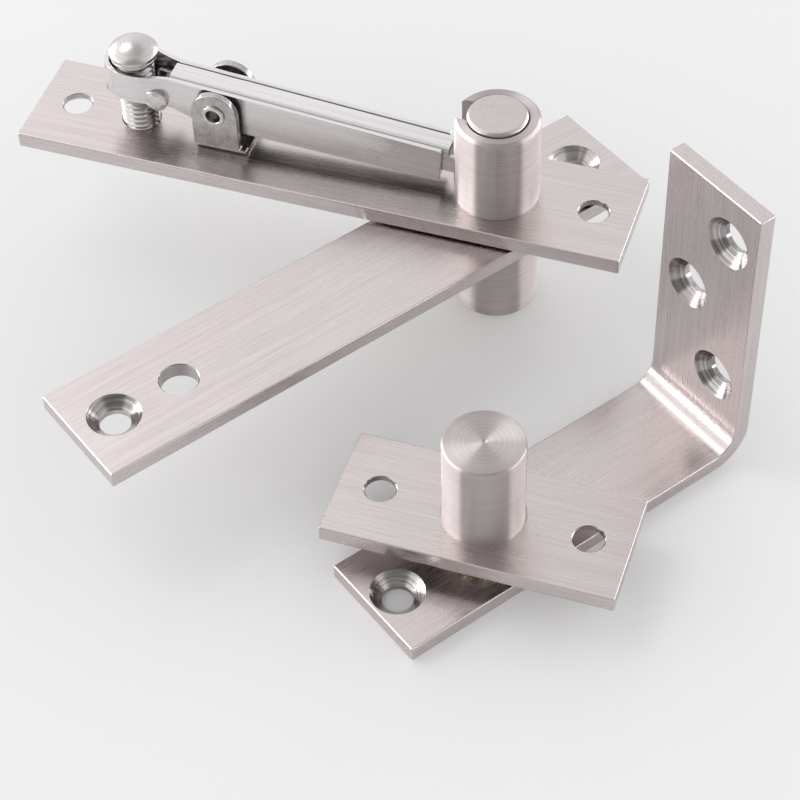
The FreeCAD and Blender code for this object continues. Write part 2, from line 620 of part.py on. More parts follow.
bevel(
    fulcrum_bracket, edge_names(fulcrum_bracket.Shape, is_bend(0)),
    "Sizes.ear_bend", "PartDesign::Fillet",
)
bevel(
    fulcrum_bracket, edge_names(fulcrum_bracket.Shape, is_bend(size("ear_thickness"))),
    "Sizes.ear_bend - Sizes.ear_thickness", "PartDesign::Fillet",
)
back_cut = new_sketch(fulcrum_bracket, "XZ_Plane")
add_outline(back_cut, (
    ("-20 * Sizes.ear_radius", "-" + EAR_TOP),
    ("-Sizes.ear_radius", "-" + EAR_TOP),
    ("-Sizes.ear_radius", "2 * " + EAR_TOP),
    ("-20 * Sizes.ear_radius", "2 * " + EAR_TOP),
))
pocket(fulcrum_bracket, back_cut)
front_cut = new_sketch(fulcrum_bracket, "XZ_Plane")
add_outline(front_cut, (
    ("Sizes.foot_front", "-" + EAR_TOP),
    ("20 * Sizes.ear_radius", "-" + EAR_TOP),
    ("20 * Sizes.ear_radius", "2 * " + EAR_TOP),
    ("Sizes.ear_radius", "2 * " + EAR_TOP),
    ("Sizes.ear_radius", "Sizes.ear_bend"),
    ("Sizes.foot_front", "Sizes.ear_bend"),
))
pocket(fulcrum_bracket, front_cut)
crown = new_sketch(fulcrum_bracket, "XZ_Plane")
add_outline(crown, (
    ("-2 * Sizes.ear_radius", "Sizes.pivot_height"),
    ("2 * Sizes.ear_radius", "Sizes.pivot_height"),
    ("2 * Sizes.ear_radius", "2 * " + EAR_TOP),
    ("-2 * Sizes.ear_radius", "2 * " + EAR_TOP),
))
pocket(fulcrum_bracket, crown)
for side in ("", "-"):
    ear = new_sketch(fulcrum_bracket, "XZ_Plane")
    add_circle(ear, "0", "Sizes.pivot_height", "Sizes.ear_radius")
    ear.setExpression(".AttachmentOffset.Base.z", side + "(Sizes.ear_inside + Sizes.ear_thickness / 2)")
    pad(fulcrum_bracket, ear, "Sizes.ear_thickness", True)
drill_across(fulcrum_bracket, "0", "Sizes.pivot_height", "Sizes.eyelet_radius")
place(fulcrum_bracket, LEVER_X, "Sizes.head_axis_y", HEAD_TOP)

# Hollow rivet that the lever turns on, with a rolled lip outside each ear
LIP = "(" + EAR_OUTSIDE + " + Sizes.eyelet_lip)"
fulcrum_rivet = turned("fulcrum_rivet", (
    ("Sizes.eyelet_bore", "-" + LIP),
    ("Sizes.eyelet_lip_radius - Sizes.eyelet_lip / 2", "-" + LIP),
    ("Sizes.eyelet_lip_radius", "-" + LIP + " + Sizes.eyelet_lip / 2"),
    ("Sizes.eyelet_lip_radius", "-" + EAR_OUTSIDE),
    ("Sizes.eyelet_radius", "-" + EAR_OUTSIDE),
    ("Sizes.eyelet_radius", EAR_OUTSIDE),
    ("Sizes.eyelet_lip_radius", EAR_OUTSIDE),
    ("Sizes.eyelet_lip_radius", LIP + " - Sizes.eyelet_lip / 2"),
    ("Sizes.eyelet_lip_radius - Sizes.eyelet_lip / 2", LIP),
    ("Sizes.eyelet_bore", LIP),
))
lay_across(fulcrum_rivet, LEVER_X, LEVER_Z)

# Washer and lifting screw, drawn from the top of the head plate
LIFT_X = "Sizes.head_axis_x - " + LIFT_PLACE
WASHER_TOP = "(Sizes.seat_height + Sizes.washer_height)"
HEAD_SEAT = "(" + WASHER_TOP + " + Sizes.lift_head_gap)"
LIFT_FOOT = "(Sizes.plate_thickness - Sizes.lift_recess)"
screw_washer = turned("screw_washer", (
    ("Sizes.lift_radius + Sizes.washer_play", "Sizes.seat_height"),
    ("Sizes.washer_radius", "Sizes.seat_height"),
    ("Sizes.washer_radius", WASHER_TOP),
    ("Sizes.lift_radius + Sizes.washer_play", WASHER_TOP),
))
place(screw_washer, LIFT_X, "Sizes.head_axis_y", HEAD_TOP)
adjusting_screw = turned("adjusting_screw", (
    ("0", "-" + LIFT_FOOT),
    ("Sizes.lift_radius - Sizes.lift_recess", "-" + LIFT_FOOT),
    ("Sizes.lift_radius", "-" + LIFT_FOOT + " + Sizes.lift_recess"),
    ("Sizes.lift_radius", HEAD_SEAT),
    ("Sizes.lift_head_radius", HEAD_SEAT),
    ("Sizes.lift_head_radius", HEAD_SEAT + " + Sizes.lift_head_rim", "dome"),
    ("0", HEAD_SEAT + " + Sizes.lift_head_rim + Sizes.lift_head_dome"),
))
socket = new_sketch(adjusting_screw, "XY_Plane")
add_outline(socket, tuple(
    ("Sizes.key_radius * cos(%ddeg)" % turn, "Sizes.key_radius * sin(%ddeg)" % turn)
    for turn in range(0, 360, 60)
))
socket.setExpression(".AttachmentOffset.Base.z", "-" + LIFT_FOOT)
pocket(adjusting_screw, socket, "Sizes.key_depth", False, True)
place(adjusting_screw, LIFT_X, "Sizes.head_axis_y", HEAD_TOP)

# Top plate of the door, its cup and the bush in it
door_top_plate = plate("door_top_plate", "Sizes.long_arm", "Sizes.short_arm", (
    ("-" + FAR_HOLE, "Sizes.screw_hole_radius"),
    (NEAR_HOLE, "Sizes.screw_hole_radius"),
    ("-" + LIFT_PLACE, "Sizes.access_hole_radius"),
    ("0", "Sizes.door_cup_radius + Sizes.cup_collar"),
))
countersink(door_top_plate, size("plate_thickness"))
place_head(door_top_plate, DOOR_TOP_BOTTOM, "Sizes.door_angle")
DOOR_TOP_FACE = "(Sizes.door_cup_length + Sizes.plate_thickness)"
door_top_cup = turned("door_top_cup", (
    ("0", "0"),
    ("Sizes.door_cup_radius - Sizes.cup_bevel", "0"),
    ("Sizes.door_cup_radius", "Sizes.cup_bevel"),
    ("Sizes.door_cup_radius", DOOR_TOP_BOTTOM),
    ("Sizes.door_cup_radius + Sizes.cup_collar", DOOR_TOP_BOTTOM),
    ("Sizes.door_cup_radius + Sizes.cup_collar", DOOR_TOP_FACE),
    (UPPER_BUSH, DOOR_TOP_FACE),
    (UPPER_BUSH, "Sizes.door_cup_floor"),
    ("0", "Sizes.door_cup_floor"),
))
place_head(door_top_cup, "0", "Sizes.door_angle")
door_top_bush = turned("door_top_bush", (
    (PIN_BORE, "Sizes.door_cup_floor"),
    (UPPER_BUSH, "Sizes.door_cup_floor"),
    (UPPER_BUSH, DOOR_TOP_FACE),
    (UPPER_BUSH + " + Sizes.bush_wall", DOOR_TOP_FACE),
    (UPPER_BUSH + " + Sizes.bush_wall", DOOR_TOP_FACE + " + Sizes.bush_flange"),
    (PIN_BORE, DOOR_TOP_FACE + " + Sizes.bush_flange"),
))
place_head(door_top_bush, "0", "Sizes.door_angle")

# Floor bracket: a folded angle with one countersunk hole in the leg and three, set to
# and fro, in the upright
floor_bracket = new_body("floor_bracket")
side_view = new_sketch(floor_bracket, "XZ_Plane")
OUTER_FACE = "(Sizes.floor_reach + Sizes.plate_thickness)"
UPRIGHT_TOP = "(Sizes.plate_thickness + Sizes.upright_height)"
add_outline(side_view, (
    ("-Sizes.floor_back", "0"),
    (OUTER_FACE, "0"),
    (OUTER_FACE, UPRIGHT_TOP),
    ("Sizes.floor_reach", UPRIGHT_TOP),
    ("Sizes.floor_reach", LEG_TOP),
    ("-Sizes.floor_back", LEG_TOP),
))
pad(floor_bracket, side_view, "Sizes.plate_width", True)


def is_fold(x, z):
    """Test for the edge of a fold across the bracket."""
    def test(edge):
        box = edge.BoundBox
        return box.YLength > 1 and abs(box.XMin - x) < 1e-6 and abs(box.ZMin - z) < 1e-6
    return test


inner_fold = is_fold(size("floor_reach"), size("plate_thickness"))
bevel(floor_bracket, edge_names(floor_bracket.Shape, inner_fold), "Sizes.floor_bend", "PartDesign::Fillet")
outer_fold = is_fold(size("floor_reach") + size("plate_thickness"), 0)
bevel(
    floor_bracket, edge_names(floor_bracket.Shape, outer_fold),
    "Sizes.floor_bend + Sizes.plate_thickness", "PartDesign::Fillet",
)


def is_bracket_rim(edge):
    """Outline of the folded angle along its two sides."""
    box = edge.BoundBox
    return box.YLength < 1e-6 and abs(abs(box.YMin) - size("plate_width") / 2) < 1e-6


bevel(floor_bracket, edge_names(floor_bracket.Shape, is_bracket_rim), "Sizes.edge_break")
leg_holes = new_sketch(floor_bracket, "XY_Plane")
add_circle(leg_holes, "-(Sizes.floor_back - Sizes.leg_margin)", "0", "Sizes.screw_hole_radius")
add_circle(leg_holes, "0", "0", "Sizes.floor_spigot_radius")
pocket(floor_bracket, leg_holes, "2 * Sizes.plate_thickness + 2 * Sizes.floor_bend")
upright_holes = new_sketch(floor_bracket, "YZ_Plane")
LOW_HOLE = LEG_TOP + " + Sizes.upright_first_hole"
HIGH_HOLE = UPRIGHT_TOP + " - Sizes.upright_margin"
MIDDLE_HOLE = "(" + LOW_HOLE + " + " + HIGH_HOLE + ") / 2"
for way, height in (("-", LOW_HOLE), ("", MIDDLE_HOLE), ("-", HIGH_HOLE)):
    add_circle(upright_holes, way + "Sizes.upright_hole_offset", height, "Sizes.screw_hole_radius")
upright_holes.setExpression(".AttachmentOffset.Base.z", "Sizes.floor_reach")
pocket(floor_bracket, upright_holes, "2 * Sizes.plate_thickness + 1")
countersink(floor_bracket, size("plate_thickness"))


def is_upright_ring(edge):
    """Rim of a fixing hole on the inner face of the upright."""
    at_face = abs(edge.BoundBox.XMin - size("floor_reach")) < 1e-4
    return at_face and is_ring(edge, size("screw_hole_radius"))


bevel(
    floor_bracket, edge_names(floor_bracket.Shape, is_upright_ring),
    "Sizes.countersink_radius - Sizes.screw_hole_radius",
)
place(floor_bracket, angle="Sizes.door_angle")

# Floor pin, staked in the leg and closed by a countersunk rivet end below
PLATE_TOP = "(2 * Sizes.plate_thickness + Sizes.bearing_height)"
floor_pin = turned("floor_pin", (
    ("0", "0"),
    ("Sizes.floor_spigot_radius", "0"),
    ("Sizes.floor_spigot_radius", LEG_TOP),
    ("Sizes.floor_pin_radius", LEG_TOP),
    ("Sizes.floor_pin_radius", PLATE_TOP + " + Sizes.floor_pin_rise - Sizes.pin_bevel"),
    ("Sizes.floor_pin_radius - Sizes.pin_bevel", PLATE_TOP + " + Sizes.floor_pin_rise"),
    ("0", PLATE_TOP + " + Sizes.floor_pin_rise"),
))
place(floor_pin)

# Thrust bearing between the leg and the plate: two races, balls and their cage
lower_race = turned("lower_race", (
    (FLOOR_BORE, LEG_TOP),
    ("Sizes.bearing_radius", LEG_TOP),
    ("Sizes.bearing_radius", LEG_TOP + " + Sizes.race_thickness"),
    (FLOOR_BORE, LEG_TOP + " + Sizes.race_thickness"),
))
place(lower_race)
upper_race = turned("upper_race", (
    (FLOOR_BORE, PLATE_BOTTOM + " - Sizes.race_thickness"),
    ("Sizes.bearing_radius", PLATE_BOTTOM + " - Sizes.race_thickness"),
    ("Sizes.bearing_radius", PLATE_BOTTOM),
    (FLOOR_BORE, PLATE_BOTTOM),
))
place(upper_race)
BALL_HEIGHT = "(Sizes.plate_thickness + Sizes.bearing_height / 2)"
first_ball = doc.addObject("Part::Sphere", "ball")
first_ball.setExpression("Radius", "Sizes.ball_radius")
first_ball.setExpression(".Placement.Base.x", "Sizes.ball_circle")
first_ball.setExpression(".Placement.Base.z", BALL_HEIGHT)
first_pocket = doc.addObject("Part::Sphere", "ball_pocket")
first_pocket.setExpression("Radius", "Sizes.ball_radius + Sizes.ball_play")
first_pocket.setExpression(".Placement.Base.x", "Sizes.ball_circle")
first_pocket.setExpression(".Placement.Base.z", BALL_HEIGHT)
ball_count = int(size("ball_count"))


def ring_of(label, source):
    """Copies of one solid, evenly round the pivot axis."""
    copies = []
    for step in range(ball_count):
        copy = source.Shape.copy()
        copy.rotate(FreeCAD.Vector(), FreeCAD.Vector(0, 0, 1), 360.0 * step / ball_count)
        copies.append(copy)
    ring = doc.addObject("Part::Feature", label)
    ring.Label = label
    ring.Shape = Part.makeCompound(copies)
    return ring


doc.recompute()
thrust_balls = ring_of("thrust_balls", first_ball)
parts.append(thrust_balls)
ball_pockets = ring_of("ball_pockets", first_pocket)
cage_blank = turned("cage_blank", (
    (FLOOR_BORE + " + Sizes.cage_play", BALL_HEIGHT + " - Sizes.cage_thickness / 2"),
    ("Sizes.bearing_radius - Sizes.cage_play", BALL_HEIGHT + " - Sizes.cage_thickness / 2"),
    ("Sizes.bearing_radius - Sizes.cage_play", BALL_HEIGHT + " + Sizes.cage_thickness / 2"),
    (FLOOR_BORE + " + Sizes.cage_play", BALL_HEIGHT + " + Sizes.cage_thickness / 2"),
))
parts.remove(cage_blank)
ball_cage = doc.addObject("Part::Cut", "ball_cage")
ball_cage.Label = "ball_cage"
ball_cage.Base = cage_blank
ball_cage.Tool = ball_pockets
parts.append(ball_cage)

# Bottom plate of the door, its closed cup and the bush in it
BOTTOM_HOLE = "(Sizes.half_bottom_plate - Sizes.bottom_margin)"
door_bottom_plate = plate("door_bottom_plate", "Sizes.half_bottom_plate", "Sizes.half_bottom_plate", (
    ("-" + BOTTOM_HOLE, "Sizes.screw_hole_radius"),
    (BOTTOM_HOLE, "Sizes.screw_hole_radius"),
    ("0", "Sizes.bottom_cup_radius + Sizes.cup_collar"),
))
countersink(door_bottom_plate, 0)
place(door_bottom_plate, z=PLATE_BOTTOM)
CUP_TOP = "(" + PLATE_TOP + " + Sizes.bottom_cup_length)"
door_bottom_cup = turned("door_bottom_cup", (
    (LOWER_BUSH, PLATE_BOTTOM),
    ("Sizes.bottom_cup_radius + Sizes.cup_collar", PLATE_BOTTOM),
    ("Sizes.bottom_cup_radius + Sizes.cup_collar", PLATE_TOP),
    ("Sizes.bottom_cup_radius", PLATE_TOP),
    ("Sizes.bottom_cup_radius", CUP_TOP + " - Sizes.cup_bevel"),
    ("Sizes.bottom_cup_radius - Sizes.cup_bevel", CUP_TOP),
    ("Sizes.centre_mark", CUP_TOP),
    ("0", CUP_TOP + " - Sizes.centre_mark"),
    ("0", CUP_TOP + " - Sizes.bottom_cup_floor"),
    (LOWER_BUSH, CUP_TOP + " - Sizes.bottom_cup_floor"),
))
place(door_bottom_cup)
door_bottom_bush = turned("door_bottom_bush", (
    (FLOOR_BORE, PLATE_BOTTOM),
    (LOWER_BUSH, PLATE_BOTTOM),
    (LOWER_BUSH, CUP_TOP + " - Sizes.bottom_cup_floor"),
    (FLOOR_BORE, CUP_TOP + " - Sizes.bottom_cup_floor"),
))
place(door_bottom_bush)

doc.recompute()
for item in doc.Objects:
    if "Invalid" in item.State or "Error" in item.State:
        raise RuntimeError("%s did not build: %s" % (item.Label, item.State))
for part in parts:
    if part.Shape.isNull() or not part.Shape.isValid():
        raise RuntimeError("%s has no valid shape" % part.Label)

os.makedirs("parts", exist_ok=True)
for part in parts:
    part.Shape.exportStep(os.path.join("parts", part.Label + ".step"))
    print("%-18s %10.2f mm3  %d solid(s)" % (part.Label, part.Shape.Volume, len(part.Shape.Solids)))
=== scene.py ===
import logging
import math
from dataclasses import dataclass
from enum import Enum
from typing import Any, Dict, Iterable, List, Sequence, Tuple, Union

import bmesh
import bpy
from mathutils import Matrix, Vector


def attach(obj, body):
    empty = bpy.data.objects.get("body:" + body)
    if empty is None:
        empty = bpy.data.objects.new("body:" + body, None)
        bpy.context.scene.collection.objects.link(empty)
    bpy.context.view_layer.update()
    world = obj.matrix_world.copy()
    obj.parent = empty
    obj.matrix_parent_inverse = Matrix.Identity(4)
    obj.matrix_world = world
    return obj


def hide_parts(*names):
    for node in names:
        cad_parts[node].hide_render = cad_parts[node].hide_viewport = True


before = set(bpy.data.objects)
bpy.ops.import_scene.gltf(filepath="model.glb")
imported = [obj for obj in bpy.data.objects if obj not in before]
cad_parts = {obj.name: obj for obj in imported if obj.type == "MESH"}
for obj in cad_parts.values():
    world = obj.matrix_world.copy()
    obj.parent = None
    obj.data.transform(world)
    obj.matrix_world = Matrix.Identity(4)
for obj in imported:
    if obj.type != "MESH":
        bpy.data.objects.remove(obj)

Point = Tuple[float, ...]
Modifier = Tuple[str, Dict[str, Any]]
MILLIMETRE = 0.001
QUARTER = math.pi / 2
FAR = 20.0  # Reach of a cutting tool past the piece, in millimetres
log = logging.getLogger("pivot_hinge")


# Shader tools

class Grain(Enum):
    """Direction of the tool marks on a metal surface."""

    ALONG = "along the piece's X axis"
    TURNED = "in rings round the piece's Z axis"
    BORED = "in rings round the nearest hole"
    ROLLED = "without a direction"
    FOLDED = "along a bar that is folded upwards at its end"


class Term:
    """A shader number that can be used in an expression."""

    def __init__(self, wiring: "Wiring", socket: bpy.types.NodeSocket) -> None:
        """Wrap a socket.

        Args:
            wiring: Node tree that the socket belongs to.
            socket: Output socket with a number.
        """
        self.wiring = wiring
        self.socket = socket

    def math(self, operation: str, *values: Any) -> "Term":
        """Add one Math node.

        Args:
            operation: Name of the Math node's operation.
            values: Its inputs, as terms or numbers.

        Returns:
            The node's result.
        """
        node = self.wiring.node("ShaderNodeMath", {"operation": operation}, dict(enumerate(values)))
        return Term(self.wiring, node.outputs[0])

    def __add__(self, other: Any) -> "Term":
        """Sum of two terms."""
        return self.math("ADD", self, other)

    __radd__ = __add__

    def __sub__(self, other: Any) -> "Term":
        """Difference of two terms."""
        return self.math("SUBTRACT", self, other)

    def __rsub__(self, other: Any) -> "Term":
        """Difference with the term on the right."""
        return self.math("SUBTRACT", other, self)

    def __mul__(self, other: Any) -> "Term":
        """Product of two terms."""
        return self.math("MULTIPLY", self, other)

    __rmul__ = __mul__

    def span(self, low: float, high: float) -> "Term":
        """Smooth step from 0 at low to 1 at high.

        Args:
            low: Where it starts.
            high: Where it ends.

        Returns:
            The step.
        """
        settings = {"interpolation_type": "SMOOTHSTEP"}
        values = {"Value": self, "From Min": low, "From Max": high}
        return Term(self.wiring, self.wiring.node("ShaderNodeMapRange", settings, values).outputs[0])


class Wiring:
    """Nodes of one material or of the world."""

    def __init__(self, owner: Union[bpy.types.Material, bpy.types.World]) -> None:
        """Start with an empty tree.

        Args:
            owner: What the nodes belong to.
        """
        owner.use_nodes = True
        self.tree = owner.node_tree
        self.tree.nodes.clear()

    def node(self, kind: str, settings: Dict[str, Any], inputs: Dict[Any, Any]) -> bpy.types.Node:
        """Add one node.

        Args:
            kind: Blender's type of node.
            settings: Properties to set first.
            inputs: Values or links by socket name or number.

        Returns:
            The new node.
        """
        node = self.tree.nodes.new(kind)
        for name, value in settings.items():
            setattr(node, name, value)
        for name, value in inputs.items():
            if isinstance(value, Term):
                value = value.socket
            if isinstance(value, bpy.types.NodeSocket):
                self.tree.links.new(value, node.inputs[name])
            else:
                node.inputs[name].default_value = value
        return node

    def term(self, node: bpy.types.Node, output: Union[str, int] = 0) -> Term:
        """One output of a node as a term."""
        return Term(self, node.outputs[output])

    def axes(self, vector: bpy.types.NodeSocket) -> List[Term]:
        """The three numbers of a vector."""
        node = self.node("ShaderNodeSeparateXYZ", {}, {0: vector})
        return [self.term(node, place) for place in range(3)]

    def point(self, x: Any, y: Any, z: Any) -> bpy.types.NodeSocket:
        """A vector of three numbers."""
        return self.node("ShaderNodeCombineXYZ", {}, {0: x, 1: y, 2: z}).outputs[0]

    def noise(self, vector: bpy.types.NodeSocket, scale: float, detail: float = 2.0) -> Term:
        """Soft noise between 0 and 1."""
        values = {"Vector": vector, "Scale": scale, "Detail": detail}
        return self.term(self.node("ShaderNodeTexNoise", {}, values))

    def blend(self, share: Term, first: Point, second: Point) -> bpy.types.NodeSocket:
        """Mix two colours, from the first at 0 to the second at 1."""
        values = {0: share, 6: (*first, 1.0), 7: (*second, 1.0)}
        return self.node("ShaderNodeMix", {"data_type": "RGBA"}, values).outputs[2]


# Size of the wide, coarse and fine marks, and how much they and the smears show in a metal's
# tone, roughness and relief

MARK_SIZES = (6, 2, 1)
TONE_SHARES = (0.2, 0.4, 0.3, 0.1)
TONE_SPAN = (0.38, 0.62)
LIGHT_SHARE = 0.7
ROUGH_MARKS = 0.12
ROUGH_SMEARS = 0.1
COARSE_RELIEF = 0.5
SMEAR_RATE = 0.09
BRUSHED = 0.012
FOLD = (3.0, 8.0)


@dataclass(frozen=True)
class Metal:
    """Finish of a metal surface.

    Its name makes the material's. Its slot names the CAD's slot and is not used. Marks is the share by which
    the marks darken the tone, relief is their height in millimetres, and fineness their number to
    the millimetre. Stretch is the highlight's, with its turn as a share of a full one.
    """

    name: str
    slot: str
    tone: Point
    roughness: float
    grain: Grain
    marks: float
    relief: float
    fineness: float
    stretch: float = 0.0
    stretch_turn: float = 0.0

    def material(self) -> bpy.types.Material:
        """Build the material once.

        Returns:
            The Blender material of this finish.
        """
        title = self.name + "_finish"
        known = bpy.data.materials.get(title)
        if known:
            return known
        made = bpy.data.materials.new(title)
        wiring = Wiring(made)
        place = wiring.node("ShaderNodeTexCoord", {}, {}).outputs["Object"]
        values = {0: place, "Scale": 1 / MILLIMETRE}
        scaled = wiring.node("ShaderNodeVectorMath", {"operation": "SCALE"}, values)
        x, y, z = wiring.axes(scaled.outputs[0])
        wide, coarse, fine = (self.pattern(wiring, x, y, z, self.fineness / size) for size in MARK_SIZES)
        smear = wiring.noise(scaled.outputs[0], SMEAR_RATE, 3.0)
        shares = TONE_SHARES
        level = wide * shares[0] + coarse * shares[1] + fine * shares[2] + smear * shares[3]
        dark = tuple(part * (1 - self.marks) for part in self.tone)
        light = tuple(min(1.0, part * (1 + self.marks * LIGHT_SHARE)) for part in self.tone)
        rough = (coarse - 0.5) * ROUGH_MARKS + (smear - 0.5) * ROUGH_SMEARS + self.roughness
        bump = wiring.node("ShaderNodeBump", {}, {
            "Strength": 1.0,
            "Distance": self.relief * MILLIMETRE,
            "Height": coarse * COARSE_RELIEF + fine,
        })
        surface = wiring.node("ShaderNodeBsdfPrincipled", {}, {
            "Base Color": wiring.blend(level.span(*TONE_SPAN), dark, light),
            "Metallic": 1.0,
            "Roughness": rough,
            "Anisotropic": self.stretch,
            "Anisotropic Rotation": self.stretch_turn,
            "Normal": bump.outputs[0],
        })
        wiring.node("ShaderNodeOutputMaterial", {}, {"Surface": surface.outputs[0]})
        return made

    def pattern(self, wiring: Wiring, x: Term, y: Term, z: Term, rate: float) -> Term:
        """Tool marks at one scale.

        Args:
            wiring: Nodes of the material.
            x: Place along the piece's X axis, in millimetres.
            y: Place along its Y axis.
            z: Place along its Z axis.
            rate: Marks to the millimetre, roughly.

        Returns:
            Height of the marks between 0 and 1.
        """
        if self.grain is Grain.ALONG:
            return wiring.noise(wiring.point(x * (rate * BRUSHED), y * rate, z * rate), 1.0, 3.0)
        if self.grain is Grain.TURNED:
            square = x * x + y * y
            radius = square.math("SQRT", square)
            return wiring.noise(wiring.point(radius * rate, z * rate, x * (rate * 0.01)), 1.0, 2.0)
        if self.grain is Grain.BORED:
            node = wiring.node("ShaderNodeAttribute", {"attribute_name": "from_axis"}, {})
            radius = wiring.term(node, "Fac")
            return wiring.noise(wiring.point(radius * rate, x * (rate * 0.03), y * (rate * 0.03)), 1.0, 2.0)
        if self.grain is Grain.FOLDED:
            leg = wiring.noise(wiring.point(x * (rate * BRUSHED), y * rate, z * rate), 1.0, 3.0)
            upright = wiring.noise(wiring.point(x * rate, y * rate, z * (rate * BRUSHED)), 1.0, 3.0)
            return leg + (upright - leg) * z.span(*FOLD)
        return wiring.noise(wiring.point(x * rate, y * rate, z * rate), 0.6, 4.0)


STEEL = (0.62, 0.565, 0.558)
PLATE = Metal("plate_steel", "plate_steel", STEEL, 0.27, Grain.ALONG, 0.08, 0.004, 6.0)
BAR = Metal("folded_bar_steel", "plate_steel", STEEL, 0.28, Grain.FOLDED, 0.08, 0.004, 6.0)
# Walls of the holes: the marks are drill rings, and the tone, darker than the plate's, is painted shade
# inside the holes
SINK_PAINTED_SHADE = Metal("countersunk_steel_painted_shade", "plate_steel", (0.42, 0.39, 0.385), 0.19, Grain.BORED, 0.38, 0.018, 5.0)
TURNED = Metal("turned_steel", "turned_steel", (0.565, 0.515, 0.508), 0.36, Grain.TURNED,
               0.09, 0.003, 5.0, 1.0, 0.25)
PIN = Metal("pin_steel", "turned_steel", (0.56, 0.515, 0.51), 0.30, Grain.ROLLED, 0.05, 0.002, 3.0)
SHEET = Metal("lever_sheet", "lever_sheet", (0.73, 0.71, 0.71), 0.25, Grain.ALONG, 0.08, 0.005, 4.5)
BRACKET = Metal("bracket_sheet", "bracket_sheet", (0.48, 0.457, 0.452), 0.24, Grain.ROLLED, 0.18, 0.010, 3.0)
RIVET = Metal("rivet_steel", "rivet_steel", (0.62, 0.60, 0.595), 0.22, Grain.ROLLED, 0.14, 0.006, 2.0)
SCREW = Metal("screw_steel", "screw_steel", (0.60, 0.57, 0.565), 0.26, Grain.TURNED, 0.07, 0.002, 3.5)
BRASS = Metal("bearing_brass", "bearing_brass", (0.72, 0.54, 0.27), 0.28, Grain.TURNED, 0.15, 0.01, 3.0)
BALL = Metal("bearing_steel", "bearing_steel", (0.70, 0.70, 0.71), 0.10, Grain.ROLLED, 0.05, 0.002, 1.0)


# Mesh tools

def placed(name: str, data: Union[bpy.types.Mesh, bpy.types.Camera, bpy.types.Light]) -> bpy.types.Object:
    """Put an object in the scene.

    Args:
        name: Its name.
        data: What it shows.

    Returns:
        The object.
    """
    made = bpy.data.objects.new(name, data)
    bpy.context.scene.collection.objects.link(made)
    return made


def arc(centre: Point, radius: float, first: float, sweep: float, steps: int) -> List[Point]:
    """Points along an arc.

    Args:
        centre: Its centre.
        radius: Its radius.
        first: Angle that it starts at, in radians.
        sweep: Angle that it turns through.
        steps: Straight runs in it.

    Returns:
        The points, with both ends.
    """
    angles = [first + sweep * step / steps for step in range(steps + 1)]
    return [(centre[0] + radius * math.cos(angle), centre[1] + radius * math.sin(angle)) for angle in angles]


def rounded(corners: Sequence[Point], steps: int = 6) -> List[Point]:
    """Round the corners of an outline.

    Args:
        corners: Corners as (x, y) or, with a radius, (x, y, radius).
        steps: Straight runs in each rounded corner.

    Returns:
        Points of the outline.
    """
    made: List[Point] = []
    for place, corner in enumerate(corners):
        here = Vector(corner[:2])
        radius = corner[2] if len(corner) > 2 else 0.0
        if radius <= 0:
            made.append(tuple(here))
            continue
        back = (Vector(corners[place - 1][:2]) - here).normalized()
        ahead = (Vector(corners[(place + 1) % len(corners)][:2]) - here).normalized()
        half = back.angle(ahead) / 2
        reach = radius / math.tan(half)
        centre = here + (back + ahead).normalized() * (radius / math.sin(half))
        first = here + back * reach - centre
        last = here + ahead * reach - centre
        made += arc(centre, first.length, math.atan2(first.y, first.x), -first.angle_signed(last), steps)
    return made


